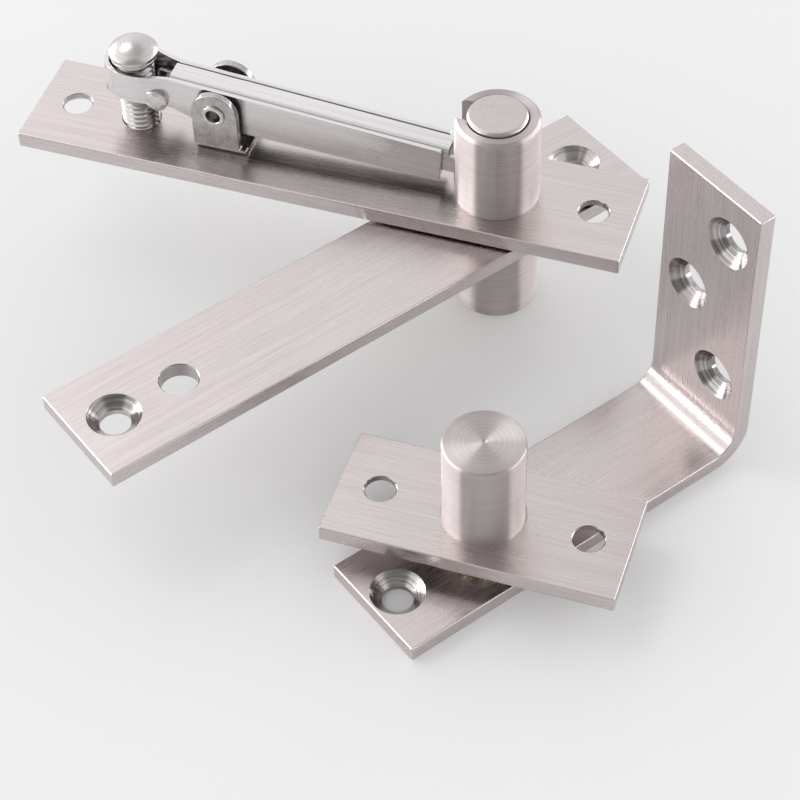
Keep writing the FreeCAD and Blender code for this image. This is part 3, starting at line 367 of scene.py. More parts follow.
class Blank:
    """A closed mesh in millimetres, about the piece's own axes."""

    def __init__(self, mesh: bpy.types.Mesh, finish: Metal) -> None:
        """Hold a mesh with its materials, and its main finish."""
        self.mesh = mesh
        self.finish = finish

    @classmethod
    def made(cls, shape: bmesh.types.BMesh, finish: Metal) -> "Blank":
        """Turn a bmesh into a blank with one finish.

        Args:
            shape: Mesh data, which is freed.
            finish: Finish of all its faces.

        Returns:
            The blank.
        """
        bmesh.ops.remove_doubles(shape, verts=shape.verts, dist=1e-5)
        bmesh.ops.recalc_face_normals(shape, faces=shape.faces)
        mesh = bpy.data.meshes.new("blank")
        shape.to_mesh(mesh)
        shape.free()
        mesh.materials.append(finish.material())
        return cls(mesh, finish)

    @classmethod
    def turned(cls, profile: Sequence[Point], finish: Metal, segments: int = 128) -> "Blank":
        """Turn a profile about the Z axis.

        Args:
            profile: Corners as (radius, height) with an optional rounding. Where the first one
                lies on the axis the profile ends there, and otherwise it is closed.
            finish: Finish of the surface.
            segments: Faces round the axis.

        Returns:
            The turned blank.
        """
        outline = rounded(profile, 4)
        closed = outline[0][0] > 1e-6
        shape = bmesh.new()
        rings = []
        for step in range(segments):
            angle = 2 * math.pi * step / segments
            rings.append([
                shape.verts.new((r * math.cos(angle), r * math.sin(angle), z)) for r, z in outline
            ])
        count = len(outline)
        for step, ring in enumerate(rings):
            following = rings[(step + 1) % segments]
            for place in range(count if closed else count - 1):
                onward = (place + 1) % count
                shape.faces.new((ring[place], following[place], following[onward], ring[onward]))
        bmesh.ops.remove_doubles(shape, verts=shape.verts, dist=1e-5)
        bmesh.ops.dissolve_degenerate(shape, dist=1e-6, edges=shape.edges)
        return cls.made(shape, finish)

    @classmethod
    def prism(cls, outline: Sequence[Point], low: float, high: float, finish: Metal,
              plane: str = "XY") -> "Blank":
        """Raise an outline into a solid.

        Args:
            outline: Points of the outline, with an optional rounding.
            low: Lower end.
            high: Upper end.
            finish: Finish of the surface.
            plane: Plane of the outline: XY, XZ or YZ. The solid runs along the third axis.

        Returns:
            The solid blank.
        """
        points = rounded(outline)
        order = {"XY": (0, 1, 2), "XZ": (0, 2, 1), "YZ": (2, 0, 1)}[plane]
        shape = bmesh.new()
        levels = []
        for height in (low, high):
            values = [(x, y, height) for x, y in points]
            levels.append([shape.verts.new([value[axis] for axis in order]) for value in values])
        shape.faces.new(levels[0])
        shape.faces.new(reversed(levels[1]))
        for place in range(len(points)):
            onward = (place + 1) % len(points)
            shape.faces.new((levels[0][place], levels[0][onward], levels[1][onward], levels[1][place]))
        return cls.made(shape, finish)

    def moved(self, matrix: Matrix) -> "Blank":
        """Move the blank.

        Args:
            matrix: Move in millimetres.

        Returns:
            The same blank.
        """
        self.mesh.transform(matrix)
        return self

    def changed(self, *modifiers: Modifier) -> "Blank":
        """Apply modifiers.

        Args:
            modifiers: Type and settings of each.

        Returns:
            The same blank with its new mesh.
        """
        holder = placed("blank", self.mesh)
        for kind, settings in modifiers:
            modifier = holder.modifiers.new(kind, kind)
            for name, value in settings.items():
                setattr(modifier, name, value)
        bpy.context.view_layer.update()
        graph = bpy.context.evaluated_depsgraph_get()
        self.mesh = bpy.data.meshes.new_from_object(holder.evaluated_get(graph), depsgraph=graph)
        bpy.data.objects.remove(holder)
        return self

    def combined(self, operation: str, tools: Iterable["Blank"]) -> "Blank":
        """Cut the blank with others.

        Args:
            operation: DIFFERENCE or INTERSECT.
            tools: Blanks to combine with, which are used up.

        Returns:
            The same blank with its new mesh.
        """
        for tool in tools:
            other = placed("tool", tool.mesh)
            self.changed(("BOOLEAN", {
                "operation": operation,
                "solver": "EXACT",
                "material_mode": "TRANSFER",
                "object": other,
            }))
            bpy.data.objects.remove(other)
        return self

    def cut(self, *tools: "Blank") -> "Blank":
        """Take tools out of the blank."""
        return self.combined("DIFFERENCE", tools)

    def kept_in(self, tool: "Blank") -> "Blank":
        """Keep what lies inside a tool."""
        return self.combined("INTERSECT", [tool])

    def softened(self, width: float, steps: int = 2, angle: float = 35.0) -> "Blank":
        """Round the sharp edges.

        Args:
            width: Width of the rounding.
            steps: Faces across it.
            angle: Edges sharper than this are rounded.

        Returns:
            The same blank.
        """
        return self.changed(("BEVEL", {
            "width": width,
            "segments": steps,
            "limit_method": "ANGLE",
            "angle_limit": math.radians(angle),
            "use_clamp_overlap": False,
            "miter_outer": "MITER_ARC",
        }))

    def added(self, other: "Blank") -> "Blank":
        """Put a separate solid in the same piece.

        Args:
            other: Solid with the same finish.

        Returns:
            The same blank with both solids.
        """
        shape = bmesh.new()
        shape.from_mesh(self.mesh)
        shape.from_mesh(other.mesh)
        shape.to_mesh(self.mesh)
        shape.free()
        return self

    def ringed(self, axes: Sequence[Tuple[Point, Point]]) -> "Blank":
        """Store each vertex's distance from the nearest hole, for the marks of the drill.

        Args:
            axes: A point and the direction of each hole.

        Returns:
            The same blank.
        """
        store = self.mesh.attributes.new("from_axis", "FLOAT", "POINT")
        lines = [(Vector(point), Vector(way).normalized()) for point, way in axes]
        for vertex, value in zip(self.mesh.vertices, store.data):
            away = [(vertex.co - point) - way * (vertex.co - point).dot(way) for point, way in lines]
            value.value = min(side.length for side in away)
        return self

    def piece(self, name: str, body: str, place: Matrix, sharp: float = 32.0) -> bpy.types.Object:
        """Finish the blank as a piece of the scene.

        Args:
            name: CAD node that it stands for.
            body: Body that it rides on.
            place: Place of the piece's own axes, in millimetres.
            sharp: Edges above this angle stay sharp.

        Returns:
            The piece.
        """
        self.mesh.polygons.foreach_set("use_smooth", [True] * len(self.mesh.polygons))
        self.mesh.set_sharp_from_angle(angle=math.radians(sharp))
        self.changed(("WEIGHTED_NORMAL", {"mode": "FACE_AREA", "weight": 50, "keep_sharp": True}))
        self.mesh.transform(Matrix.Scale(MILLIMETRE, 4))
        self.mesh.name = name
        made = placed(name + "_detail", self.mesh)
        stand = place.copy()
        stand.translation = place.translation * MILLIMETRE
        made.matrix_world = stand
        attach(made, body)
        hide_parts(name)
        log.info("%s: %d faces", name, len(self.mesh.polygons))
        return made


def spot(x: float, y: float, z: float, turn: float = 0.0, axis: str = "Z") -> Matrix:
    """Place in millimetres, turned by an angle in degrees about one axis."""
    return Matrix.Translation((x, y, z)) @ Matrix.Rotation(math.radians(turn), 4, axis)


def disc(radius: float, low: float, high: float, finish: Metal, segments: int = 96) -> Blank:
    """Plain cylinder on the Z axis."""
    return Blank.turned([(0, low), (radius, low), (radius, high), (0, high)], finish, segments)


# Sizes that the sub-assemblies share, in millimetres

@dataclass(frozen=True)
class Stock:
    """Flat bar of the plates and the holes in it."""

    width: float = 25.0
    thickness: float = 3.5
    rim: float = 0.28
    screw_hole: float = 3.1
    sink: float = 5.4
    sink_lip: Point = (0.12, 0.04)
    flare: float = 0.18
    long_ends: Point = (101.5, 29.0)
    long_holes: Point = (-93.0, 20.5)
    lift_place: float = -78.2

    def bar(self, back: float, front: float) -> Blank:
        """Bar with rounded rims, on its own underside.

        Args:
            back: Length behind the axis.
            front: Length in front of it.

        Returns:
            The blank bar.
        """
        half = self.width / 2
        outline = [(-back, -half), (front, -half), (front, half), (-back, half)]
        return Blank.prism(outline, 0, self.thickness, PLATE).softened(self.rim, 3)

    def drill(self, radius: float, x: float) -> Blank:
        """Tool for a plain hole with broken edges.

        Args:
            radius: Radius of the hole.
            x: Place along the bar.

        Returns:
            The tool.
        """
        top = self.thickness
        flare = self.flare
        profile = [
            (0, -1), (radius + flare + 1, -1), (radius, flare), (radius, top - flare),
            (radius + flare + 1, top + 1), (0, top + 1),
        ]
        return Blank.turned(profile, SINK_PAINTED_SHADE, 96).moved(spot(x, 0, 0))

    def seat(self, radius: float, segments: int = 96) -> Blank:
        """Tool for the hole that a cup, barrel or pin sits in."""
        return disc(radius, -1, self.thickness + 1, SINK_PAINTED_SHADE, segments)

    def sinker(self, x: float, up: bool) -> Blank:
        """Tool for a countersunk screw hole.

        Args:
            x: Place along the bar.
            up: Whether the countersink opens upwards.

        Returns:
            The tool.
        """
        top = self.thickness
        profile = [
            (0, -1), (self.screw_hole + self.flare + 1, -1), (self.screw_hole, self.flare),
            (self.screw_hole, top - (self.sink - self.screw_hole)),
            (self.sink, top), (self.sink + self.sink_lip[0], top + self.sink_lip[1]),
            (self.sink + 1.5, top + 1), (0, top + 1),
        ]
        tool = Blank.turned(profile, SINK_PAINTED_SHADE, 96)
        if not up:
            tool.moved(spot(0, 0, top, 180, "X"))
        return tool.moved(spot(x, 0, 0))

    def plate(self, ends: Point, sinks: Point, up: bool, *tools: Blank, plain: Point = ()) -> Blank:
        """Bar with its holes, and with the marks of their drills.

        Args:
            ends: Length behind the axis and in front of it.
            sinks: Places of the countersunk holes.
            up: Whether the countersinks open upwards.
            tools: Tools of the other openings.
            plain: Places of the plain holes among them.

        Returns:
            The blank plate.
        """
        made = self.bar(*ends).cut(*(self.sinker(x, up) for x in sinks), *tools)
        return made.ringed([((x, 0, 0), (0, 0, 1)) for x in (*sinks, *plain)])

    def long_plate(self, up: bool, radius: float, seat: Blank) -> Blank:
        """Long plate of the head and of the door.

        Args:
            up: Whether the countersinks open upwards.
            radius: Radius of the hole at the lifting screw.
            seat: Tool of the hole on the pivot's axis.

        Returns:
            The blank plate.
        """
        place = self.lift_place
        tool = self.drill(radius, place)
        return self.plate(self.long_ends, self.long_holes, up, tool, seat, plain=(place,))


STOCK = Stock()
HEAD_AXIS = (-18.0, 68.5)
DOOR_TURN = 55.0
DOOR_TOP_LOW = 20.75
HEAD_LOW = 24.75
HEAD_TOP = HEAD_LOW + STOCK.thickness
LEG_TOP = STOCK.thickness
DOOR_BOTTOM_LOW = 7.7
DOOR_BOTTOM_TOP = DOOR_BOTTOM_LOW + STOCK.thickness


@dataclass
class HeadSet:
    """Head plate with its guide barrel and the sliding pivot pin."""

    tapped_radius: float = 4.01
    barrel_radius: float = 8.75
    barrel_height: float = 20.3
    spigot_radius: float = 7.8
    bore: float = 6.35
    bevel: float = 0.6
    slot_width: float = 5.6
    slot_floor: float = 1.5
    pin_radius: float = 6.2
    pin_foot: float = -16.8
    pin_top: float = 21.0
    pin_bevel: float = 0.5
    notch_middle: float = 6.564
    notch_half_height: float = 2.75
    notch_half_width: float = 2.6
    notch_wall: float = 0.8

    def plate(self) -> bpy.types.Object:
        """Head plate with its two fixing holes and the tapped hole.

        Returns:
            The piece.
        """
        bar = STOCK.long_plate(False, self.tapped_radius, STOCK.seat(self.spigot_radius, 128))
        return bar.piece("head_plate", "frame_side", spot(*HEAD_AXIS, HEAD_LOW))

    def barrel(self) -> bpy.types.Object:
        """Guide barrel with the slot for the lever.

        Returns:
            The piece.
        """
        foot = -STOCK.thickness
        top = self.barrel_height
        profile = [
            (self.bore, foot), (self.spigot_radius, foot), (self.spigot_radius, 0),
            (self.barrel_radius, 0, 0.15), (self.barrel_radius, top - self.bevel, 0.25),
            (self.barrel_radius - self.bevel, top, 0.2), (self.bore + self.bevel / 2, top, 0.1),
            (self.bore, top - self.bevel / 2, 0.1),
        ]
        body = Blank.turned(profile, TURNED, 160)
        half = self.slot_width / 2
        reach = 2 * self.barrel_radius
        outline = [(-reach, -half), (0, -half), (0, half), (-reach, half)]
        body.cut(Blank.prism(outline, self.slot_floor, top + FAR, TURNED))
        return body.piece("guide_barrel", "frame_side", spot(*HEAD_AXIS, HEAD_TOP))

    def pin(self) -> bpy.types.Object:
        """Sliding pin with the notch that the prongs lift.

        Returns:
            The piece.
        """
        edge = self.pin_bevel
        profile = [
            (0, self.pin_foot), (self.pin_radius - edge, self.pin_foot, 0.3),
            (self.pin_radius, self.pin_foot + edge, 0.3), (self.pin_radius, self.pin_top - edge, 0.35),
            (self.pin_radius - edge, self.pin_top, 0.4), (0, self.pin_top),
        ]
        low = self.notch_middle - self.notch_half_height
        high = self.notch_middle + self.notch_half_height
        reach = 2 * self.pin_radius
        outline = [(-reach, low), (-self.notch_wall, low), (-self.notch_wall, high), (-reach, high)]
        notch = Blank.prism(outline, -self.notch_half_width, self.notch_half_width, PIN, "XZ")
        body = Blank.turned(profile, PIN, 160).cut(notch)
        return body.piece("pivot_pin", "pivot_pin", spot(*HEAD_AXIS, HEAD_TOP))

    def build(self) -> List[bpy.types.Object]:
        """Build the pieces of the head set."""
        return [self.plate(), self.barrel(), self.pin()]


@dataclass
class LiftingLever:
    """Lever of two folded sheets, its rivet, and the bracket that it tilts on."""

    axis: Point = (-76.9, 68.5, 38.65)
    tilt: float = 4.4
    prong_length: float = 55.2
    prong_nose: float = 2.5
    prong_neck: float = 1.43
    nose_turn: float = 124.0
    prong_half_height: float = 2.05
    prong_centre: float = 0.4
    channel_half: float = 2.4
    channel_wall: float = 0.9
    channel_top: float = 4.3
    channel_corner: float = 0.85
    channel_bottom: float = 3.3
    channel_front: float = 48.1
    web_reach: float = 1.2
    channel_back: float = 11.0
    channel_rim: float = 0.12
    cheek_back: float = 15.3
    strap_wall: float = 1.0
    strap_play: float = 0.1
    strap_top: float = 4.1
    strap_deep: float = 5.8
    strap_front_depth: float = 3.9
    strap_deep_place: float = 3.0
    strap_rim: float = 0.16
    belly_back: float = -30.0
    belly_start: float = -10.5
    belly_low: float = -3.3
    nose_depth: float = 2.5
    nose_half: float = 5.4
    nose_centre: float = 20.6
    neck_start: float = 19.0
    neck_end: float = 9.5
    rivet_place: float = 13.3
    rivet_drop: float = 1.6
    rivet_head: float = 2.5
    rivet_rim: float = 0.5
    rivet_shank: float = 1.4
    rivet_seat: float = 3.3
    rivet_tip: float = 5.25
    pivot_hole: float = 2.0
    eyelet_radius: float = 1.95
    eyelet_bore: float = 1.55
    eyelet_lip: float = 2.45
    lip_height: float = 0.5
    pivot_height: float = 10.4
    ear_radius: float = 5.0
    ear_inside: float = 4.4
    ear_thickness: float = 1.6
    ear_bend: float = 2.2
    ear_rim: float = 0.22
    foot_front: float = 6.4
    foot_step: float = 1.9

    def place(self) -> Matrix:
        """Place of the lever's own axes."""
        return spot(*self.axis, self.tilt, "Y")

    def side(self, nose: float, straight: float, front: float) -> List[Point]:
        """Outline of the strap seen from above.

        Args:
            nose: Half width and radius of the nose.
            straight: Half width behind the neck.
            front: Length towards the barrel.

        Returns:
            Points of the outline, anticlockwise.
        """
        bend = arc((-self.nose_centre, 0.0), nose, QUARTER, math.pi, 16)
        lower = []
        for step in range(13):
            share = step / 12
            ease = share * share * (3 - 2 * share)
            along = -self.neck_start + (self.neck_start - self.neck_end) * share
            lower.append((along, -(nose + (straight - nose) * ease)))
        lower.append((front, -straight))
        upper = [(x, -y) for x, y in reversed(lower)]
        return bend + lower + upper

    def belly(self) -> List[Point]:
        """Side view of the strap.

        Returns:
            Corners of the outline.
        """
        back = self.belly_back
        front = self.channel_front
        return [
            (back, -self.nose_depth), (self.belly_start, self.belly_low, 4.0),
            (-self.strap_deep_place, -self.strap_deep, 5.0),
            (front, -self.strap_front_depth, 0.5), (front, self.strap_top, 0.4), (back, self.strap_top),
        ]

    def bore(self, x: float, z: float, radius: float) -> Blank:
        """Tool for a hole across the lever."""
        return disc(radius, -FAR, FAR, RIVET, 48).moved(spot(x, 0, z, 90, "X"))

    def strap(self) -> bpy.types.Object:
        """Outer strap, bent round the screw.

        Returns:
            The piece.
        """
        straight = self.channel_half + self.strap_play
        outer = self.side(self.nose_half, straight + self.strap_wall, self.channel_front + FAR)
        inner = self.side(self.nose_half - self.strap_wall, straight, self.channel_front + 2 * FAR)
        body = Blank.prism(outer, -FAR, FAR, SHEET)
        body.cut(Blank.prism(inner, -2 * FAR, 2 * FAR, SHEET))
        body.kept_in(Blank.prism(self.belly(), -FAR, FAR, SHEET, "XZ"))
        body.cut(self.bore(0, 0, self.pivot_hole))
        body.softened(self.strap_rim)
        return body.piece("lever_strap", "lever", self.place())

    def channel(self) -> bpy.types.Object:
        """Inner channel with its two prongs.

        Returns:
            The piece.
        """
        half = self.channel_half
        wall = self.channel_wall
        corner = self.channel_corner
        low = -self.channel_bottom
        top = self.channel_top
        section = [
            (-half, low), (-half + wall, low), (-half + wall, top - wall, 0.2),
            (half - wall, top - wall, 0.2), (half - wall, low), (half, low),
            (half, top, corner), (-half, top, corner),
        ]
        body = Blank.prism(section, -FAR, self.prong_length + FAR, SHEET, "YZ")
        prong_top = self.prong_centre + self.prong_half_height
        prong_low = self.prong_centre - self.prong_half_height
        neck = self.prong_length - self.prong_neck
        front = self.channel_front
        web = front + self.web_reach
        outline = [
            (-self.cheek_back, -self.nose_depth, 0.6), (-self.channel_back, -self.nose_depth),
            (-self.strap_deep_place, low), (front, low, 0.6), (front + 0.01, prong_low), (neck, prong_low),
            *arc((self.prong_length, self.prong_centre), self.prong_nose,
                 math.radians(-self.nose_turn), math.radians(2 * self.nose_turn), 12),
            (neck, prong_top), (web, prong_top), (web, top + 1), (-self.channel_back, top + 1),
            (-self.channel_back, top / 3), (-self.cheek_back, top / 3, 0.6),
        ]
        body.kept_in(Blank.prism(outline, -FAR, FAR, SHEET, "XZ"))
        body.cut(self.bore(0, 0, self.pivot_hole))
        body.softened(self.channel_rim)
        return body.piece("lever_channel", "lever", self.place())

    def rivet(self) -> bpy.types.Object:
        """Rivet at the neck, with a low dome at each end.

        Returns:
            The piece.
        """
        half = [
            (self.rivet_shank, self.rivet_seat), (self.rivet_head, self.rivet_seat),
            (self.rivet_head, self.rivet_tip - self.rivet_rim, 0.2),
            (self.rivet_head * 0.6, self.rivet_tip - 0.1, 0.6), (0, self.rivet_tip),
        ]
        profile = [(radius, -height, *rounding) for radius, height, *rounding in reversed(half)] + half
        body = Blank.turned(profile, RIVET, 64).moved(spot(0, 0, 0, 90, "X"))
        place = self.place() @ Matrix.Translation((-self.rivet_place, 0, -self.rivet_drop))
        return body.piece("lever_rivet", "lever", place)

    def bracket(self) -> bpy.types.Object:
        """Folded bracket with two round-topped ears.

        Returns:
            The piece.
        """
        out = self.ear_inside + self.ear_thickness
        inside = self.ear_inside
        top = self.pivot_height + self.ear_radius + 1
        fold = self.ear_bend - self.ear_thickness
        section = [
            (-out, 0, self.ear_bend), (out, 0, self.ear_bend), (out, top), (inside, top),
            (inside, self.ear_thickness, fold), (-inside, self.ear_thickness, fold),
            (-inside, top), (-out, top),
        ]
        body = Blank.prism(section, -FAR, FAR, BRACKET, "YZ")
        radius = self.ear_radius
        outline = [
            (-radius, -1), (self.foot_front, -1), (self.foot_front, self.foot_step),
            (radius, self.foot_step), *arc((0.0, self.pivot_height), radius, 0.0, math.pi, 32),
        ]
        body.kept_in(Blank.prism(outline, -FAR, FAR, BRACKET, "XZ"))
        body.cut(self.bore(0, self.pivot_height, self.eyelet_radius))
        body.softened(self.ear_rim, 3)
        return body.piece("fulcrum_bracket", "frame_side", spot(*self.axis[:2], HEAD_TOP))

    def eyelet(self) -> bpy.types.Object:
        """Hollow rivet with rolled lips.

        Returns:
            The piece.
        """
        out = self.ear_inside + self.ear_thickness
        tip = out + self.lip_height
        lip = self.lip_height / 2
        profile = [
            (self.eyelet_bore, -tip, 0.18), (self.eyelet_lip, -tip, lip), (self.eyelet_lip, -out),
            (self.eyelet_radius, -out), (self.eyelet_radius, out), (self.eyelet_lip, out),
            (self.eyelet_lip, tip, lip), (self.eyelet_bore, tip, 0.18),
        ]
        body = Blank.turned(profile, RIVET, 64).moved(spot(0, 0, 0, 90, "X"))
        return body.piece("fulcrum_rivet", "frame_side", spot(*self.axis))

    def build(self) -> List[bpy.types.Object]:
        """Build the pieces of the lever and its bracket."""
        return [self.strap(), self.channel(), self.rivet(), self.bracket(), self.eyelet()]


@dataclass
class LiftingScrew:
    """Screw that presses the lever down, and its washer."""

    axis: Point = (-96.2, 68.5)
    radius: float = 3.95
    depth: float = 0.62
    pitch: float = 1.25
    flank: Tuple[Point, ...] = ((0.0, 0.0), (0.12, 0.0), (0.31, 0.5), (0.5, 1.0), (0.62, 1.0), (0.81, 0.5))
    lead: float = 0.6
    overlap: float = 0.3
    foot: float = -3.0
    seat: float = 16.8
    washer_radius: float = 4.9
    washer_height: float = 0.8
    washer_bore: float = 4.1
    head_seat: float = 17.7
    head_radius: float = 5.1
    head_rim: float = 0.9
    head_dome: float = 2.4
    head_edge: float = 0.12

    def thread(self) -> Blank:
        """Threaded shank.

        Returns:
            Closed blank with a helical right-hand thread.
        """
        columns = 64
        low = self.foot
        high = self.head_seat + self.overlap
        steps = len(self.flank)
        count = (int((high - low) / self.pitch) + 3) * steps
        shape = bmesh.new()
        grid = []
        for column in range(columns):
            share = column / columns
            angle = 2 * math.pi * share
            line = []
            for row in range(count):
                place, cut = self.flank[row % steps]
                z = low + (row // steps - 1 + place + share) * self.pitch
                held = min(max(z, low), high)
                if held != z:
                    cut = 1.0
                else:
                    cut += self.lead * max(0.0, 1 - (z - low) / self.lead)
                radius = self.radius - self.depth * cut
                line.append(shape.verts.new((radius * math.cos(angle), radius * math.sin(angle), held)))
            grid.append(line)
        for column, here in enumerate(grid):
            following = grid[(column + 1) % columns]
            shift = steps if column == columns - 1 else 0
            for row in range(shift, count - 1):
                low_next, high_next = following[row - shift:row - shift + 2]
                shape.faces.new((here[row], low_next, high_next, here[row + 1]))
        bmesh.ops.remove_doubles(shape, verts=shape.verts, dist=1e-4)
        bmesh.ops.dissolve_degenerate(shape, dist=1e-4, edges=shape.edges)
        bmesh.ops.holes_fill(shape, edges=[edge for edge in shape.edges if edge.is_boundary], sides=0)
        return Blank.made(shape, SCREW)

    def screw(self) -> bpy.types.Object:
        """Screw with its dome head.

        Returns:
            The piece.
        """
        rim = self.head_seat + self.head_rim
        top = rim + self.head_dome
        ball = (self.head_radius ** 2 + self.head_dome ** 2) / (2 * self.head_dome)
        seat = self.head_seat
        edge = self.head_edge
        profile = [(0, seat), (self.head_radius - edge, seat), (self.head_radius, seat + edge)]
        for step in range(17):
            across = self.head_radius * math.cos(QUARTER * step / 16)
            profile.append((across, top - ball + math.sqrt(ball * ball - across * across)))
        head = Blank.turned(profile, SCREW, 128)
        body = self.thread().added(head)
        return body.piece("adjusting_screw", "lifting_screw", spot(*self.axis, HEAD_TOP), 50.0)

    def washer(self) -> bpy.types.Object:
        """Washer under the head.

        Returns:
            The piece.
        """
        top = self.seat + self.washer_height
        profile = [
            (self.washer_bore, self.seat, 0.1), (self.washer_radius, self.seat, 0.2),
            (self.washer_radius, top, 0.2), (self.washer_bore, top, 0.1),
        ]
        body = Blank.turned(profile, SCREW, 96)
        return body.piece("screw_washer", "screw_seat", spot(*self.axis, HEAD_TOP))

    def build(self) -> List[bpy.types.Object]:
        """Build the screw and its washer."""
        return [self.screw(), self.washer()]


@dataclass
class DoorTopSet:
    """Plate in the top edge of the door, with its cup and bush."""

    access_radius: float = 3.9
    cup_radius: float = 8.6
    cup_floor: float = 2.5
    collar: float = 0.4
    bush_outside: float = 7.26
    bush_inside: float = 6.26
    flange: float = 0.35

    def plate(self) -> bpy.types.Object:
        """Long plate with its countersunk holes.

        Returns:
            The piece.
        """
        bar = STOCK.long_plate(True, self.access_radius, STOCK.seat(self.cup_radius + self.collar))
        return bar.piece("door_top_plate", "door_top", spot(*HEAD_AXIS, DOOR_TOP_LOW, DOOR_TURN))

    def cup(self) -> bpy.types.Object:
        """Closed cup under the plate.

        Returns:
            The piece.
        """
        low = DOOR_TOP_LOW
        top = low + STOCK.thickness
        foot = self.cup_radius + self.collar
        profile = [
            (0, 0), (self.cup_radius, 0, 0.5), (self.cup_radius, low), (foot, low), (foot, top),
            (self.bush_outside, top), (self.bush_outside, self.cup_floor), (0, self.cup_floor),
        ]
        body = Blank.turned(profile, TURNED, 128)
        return body.piece("door_top_cup", "door_top", spot(*HEAD_AXIS, 0, DOOR_TURN))

    def bush(self) -> bpy.types.Object:
        """Bush that the pivot pin drops into.

        Returns:
            The piece.
        """
        face = DOOR_TOP_LOW + STOCK.thickness
        top = face + self.flange
        wide = self.bush_outside + 1
        profile = [
            (self.bush_inside, self.cup_floor), (self.bush_outside, self.cup_floor),
            (self.bush_outside, face), (wide, face), (wide, top, 0.1), (self.bush_inside, top, 0.2),
        ]
        body = Blank.turned(profile, BRASS, 96)
        return body.piece("door_top_bush", "door_top", spot(*HEAD_AXIS, 0, DOOR_TURN))

    def build(self) -> List[bpy.types.Object]:
        """Build the pieces in the top of the door."""
        return [self.plate(), self.cup(), self.bush()]


@dataclass
class FloorSet:
    """Angle bracket with its pin and the thrust bearing."""

    back: float = 26.7
    reach: float = 53.2
    height: float = 62.0
    bend: float = 4.5
    leg_hole: float = 20.7
    spigot: float = 4.2
    first_hole: float = 15.0
    hole_pitch: float = 18.0
    hole_offset: float = 4.7
    pin_radius: float = 5.0
    pin_top: float = 26.7
    pin_bevel: float = 0.5
    bearing_radius: float = 8.4
    bore: float = 5.06
    race: float = 0.85
    ball: float = 1.2
    ball_circle: float = 6.8
    ball_count: int = 11
    cage: float = 0.9
    cage_play: float = 0.2

    def bracket(self) -> bpy.types.Object:
        """Bar folded to an angle, with its four countersunk holes.

        Returns:
            The piece.
        """
        thick = STOCK.thickness
        half = STOCK.width / 2
        outer = self.reach + thick
        top = thick + self.height
        side = [
            (-self.back, 0), (outer, 0, self.bend + thick), (outer, top), (self.reach, top),
            (self.reach, thick, self.bend), (-self.back, thick),
        ]
        body = Blank.prism([(x, z) for x, z in rounded(side, 16)], -half, half, BAR, "XZ")
        body.softened(STOCK.rim, 3, 50.0)
        body.cut(STOCK.sinker(-self.leg_hole, True), STOCK.seat(self.spigot))
        axes: List[Tuple[Point, Point]] = [((-self.leg_hole, 0, 0), (0, 0, 1))]
        for step, way in enumerate((-1, 1, -1)):
            height = thick + self.first_hole + step * self.hole_pitch
            stand = spot(outer, way * self.hole_offset, height, -90, "Y")
            body.cut(STOCK.sinker(0, True).moved(stand))
            axes.append(((0, way * self.hole_offset, height), (1, 0, 0)))
        body.ringed(axes)
        return body.piece("floor_bracket", "frame_side", spot(0, 0, 0, DOOR_TURN))

    def pin(self) -> bpy.types.Object:
        """Fixed pin that carries the door.

        Returns:
            The piece.
        """
        edge = self.pin_bevel
        profile = [
            (0, 0), (self.spigot, 0, 0.1), (self.spigot, LEG_TOP), (self.pin_radius, LEG_TOP),
            (self.pin_radius, self.pin_top - edge, 0.3), (self.pin_radius - edge, self.pin_top, 0.3),
            (0, self.pin_top),
        ]
        return Blank.turned(profile, TURNED, 96).piece("floor_pin", "frame_side", spot(0, 0, 0))

    def ring(self, name: str, body: str, inner: float, outer: float, low: float, high: float,
             finish: Metal) -> bpy.types.Object:
        """Flat ring of the bearing.

        Args:
            name: CAD node that it stands for.
            body: Body that it rides on.
            inner: Radius of the hole.
            outer: Radius outside.
            low: Lower face.
            high: Upper face.
            finish: Finish of the ring.

        Returns:
            The ring.
        """
        profile = [(inner, low, 0.08), (outer, low, 0.15), (outer, high, 0.15), (inner, high, 0.08)]
        return Blank.turned(profile, finish, 96).piece(name, body, spot(0, 0, 0))

    def balls(self) -> bpy.types.Object:
        """Ring of steel balls.

        Returns:
            The piece.
        """
        shape = bmesh.new()
        middle = (LEG_TOP + DOOR_BOTTOM_LOW) / 2
        for step in range(self.ball_count):
            turn = Matrix.Rotation(2 * math.pi * step / self.ball_count, 4, "Z")
            place = turn @ Matrix.Translation((self.ball_circle, 0, middle))
            bmesh.ops.create_icosphere(shape, subdivisions=4, radius=self.ball, matrix=place)
        return Blank.made(shape, BALL).piece("thrust_balls", "ball_set", spot(0, 0, 0))

    def build(self) -> List[bpy.types.Object]:
        """Build the pieces of the floor set.

        Returns:
            The pieces.
        """
        middle = (LEG_TOP + DOOR_BOTTOM_LOW) / 2
        half = self.cage / 2
        outer = self.bearing_radius
        top = DOOR_BOTTOM_LOW
        return [
            self.bracket(),
            self.pin(),
            self.ring("lower_race", "frame_side", self.bore, outer, LEG_TOP, LEG_TOP + self.race, BALL),
            self.ring("upper_race", "door_bottom", self.bore, outer, top - self.race, top, BALL),
            self.ring("ball_cage", "ball_set", self.bore + self.cage_play, outer - self.cage_play,
                      middle - half, middle + half, BRASS),
            self.balls(),
        ]


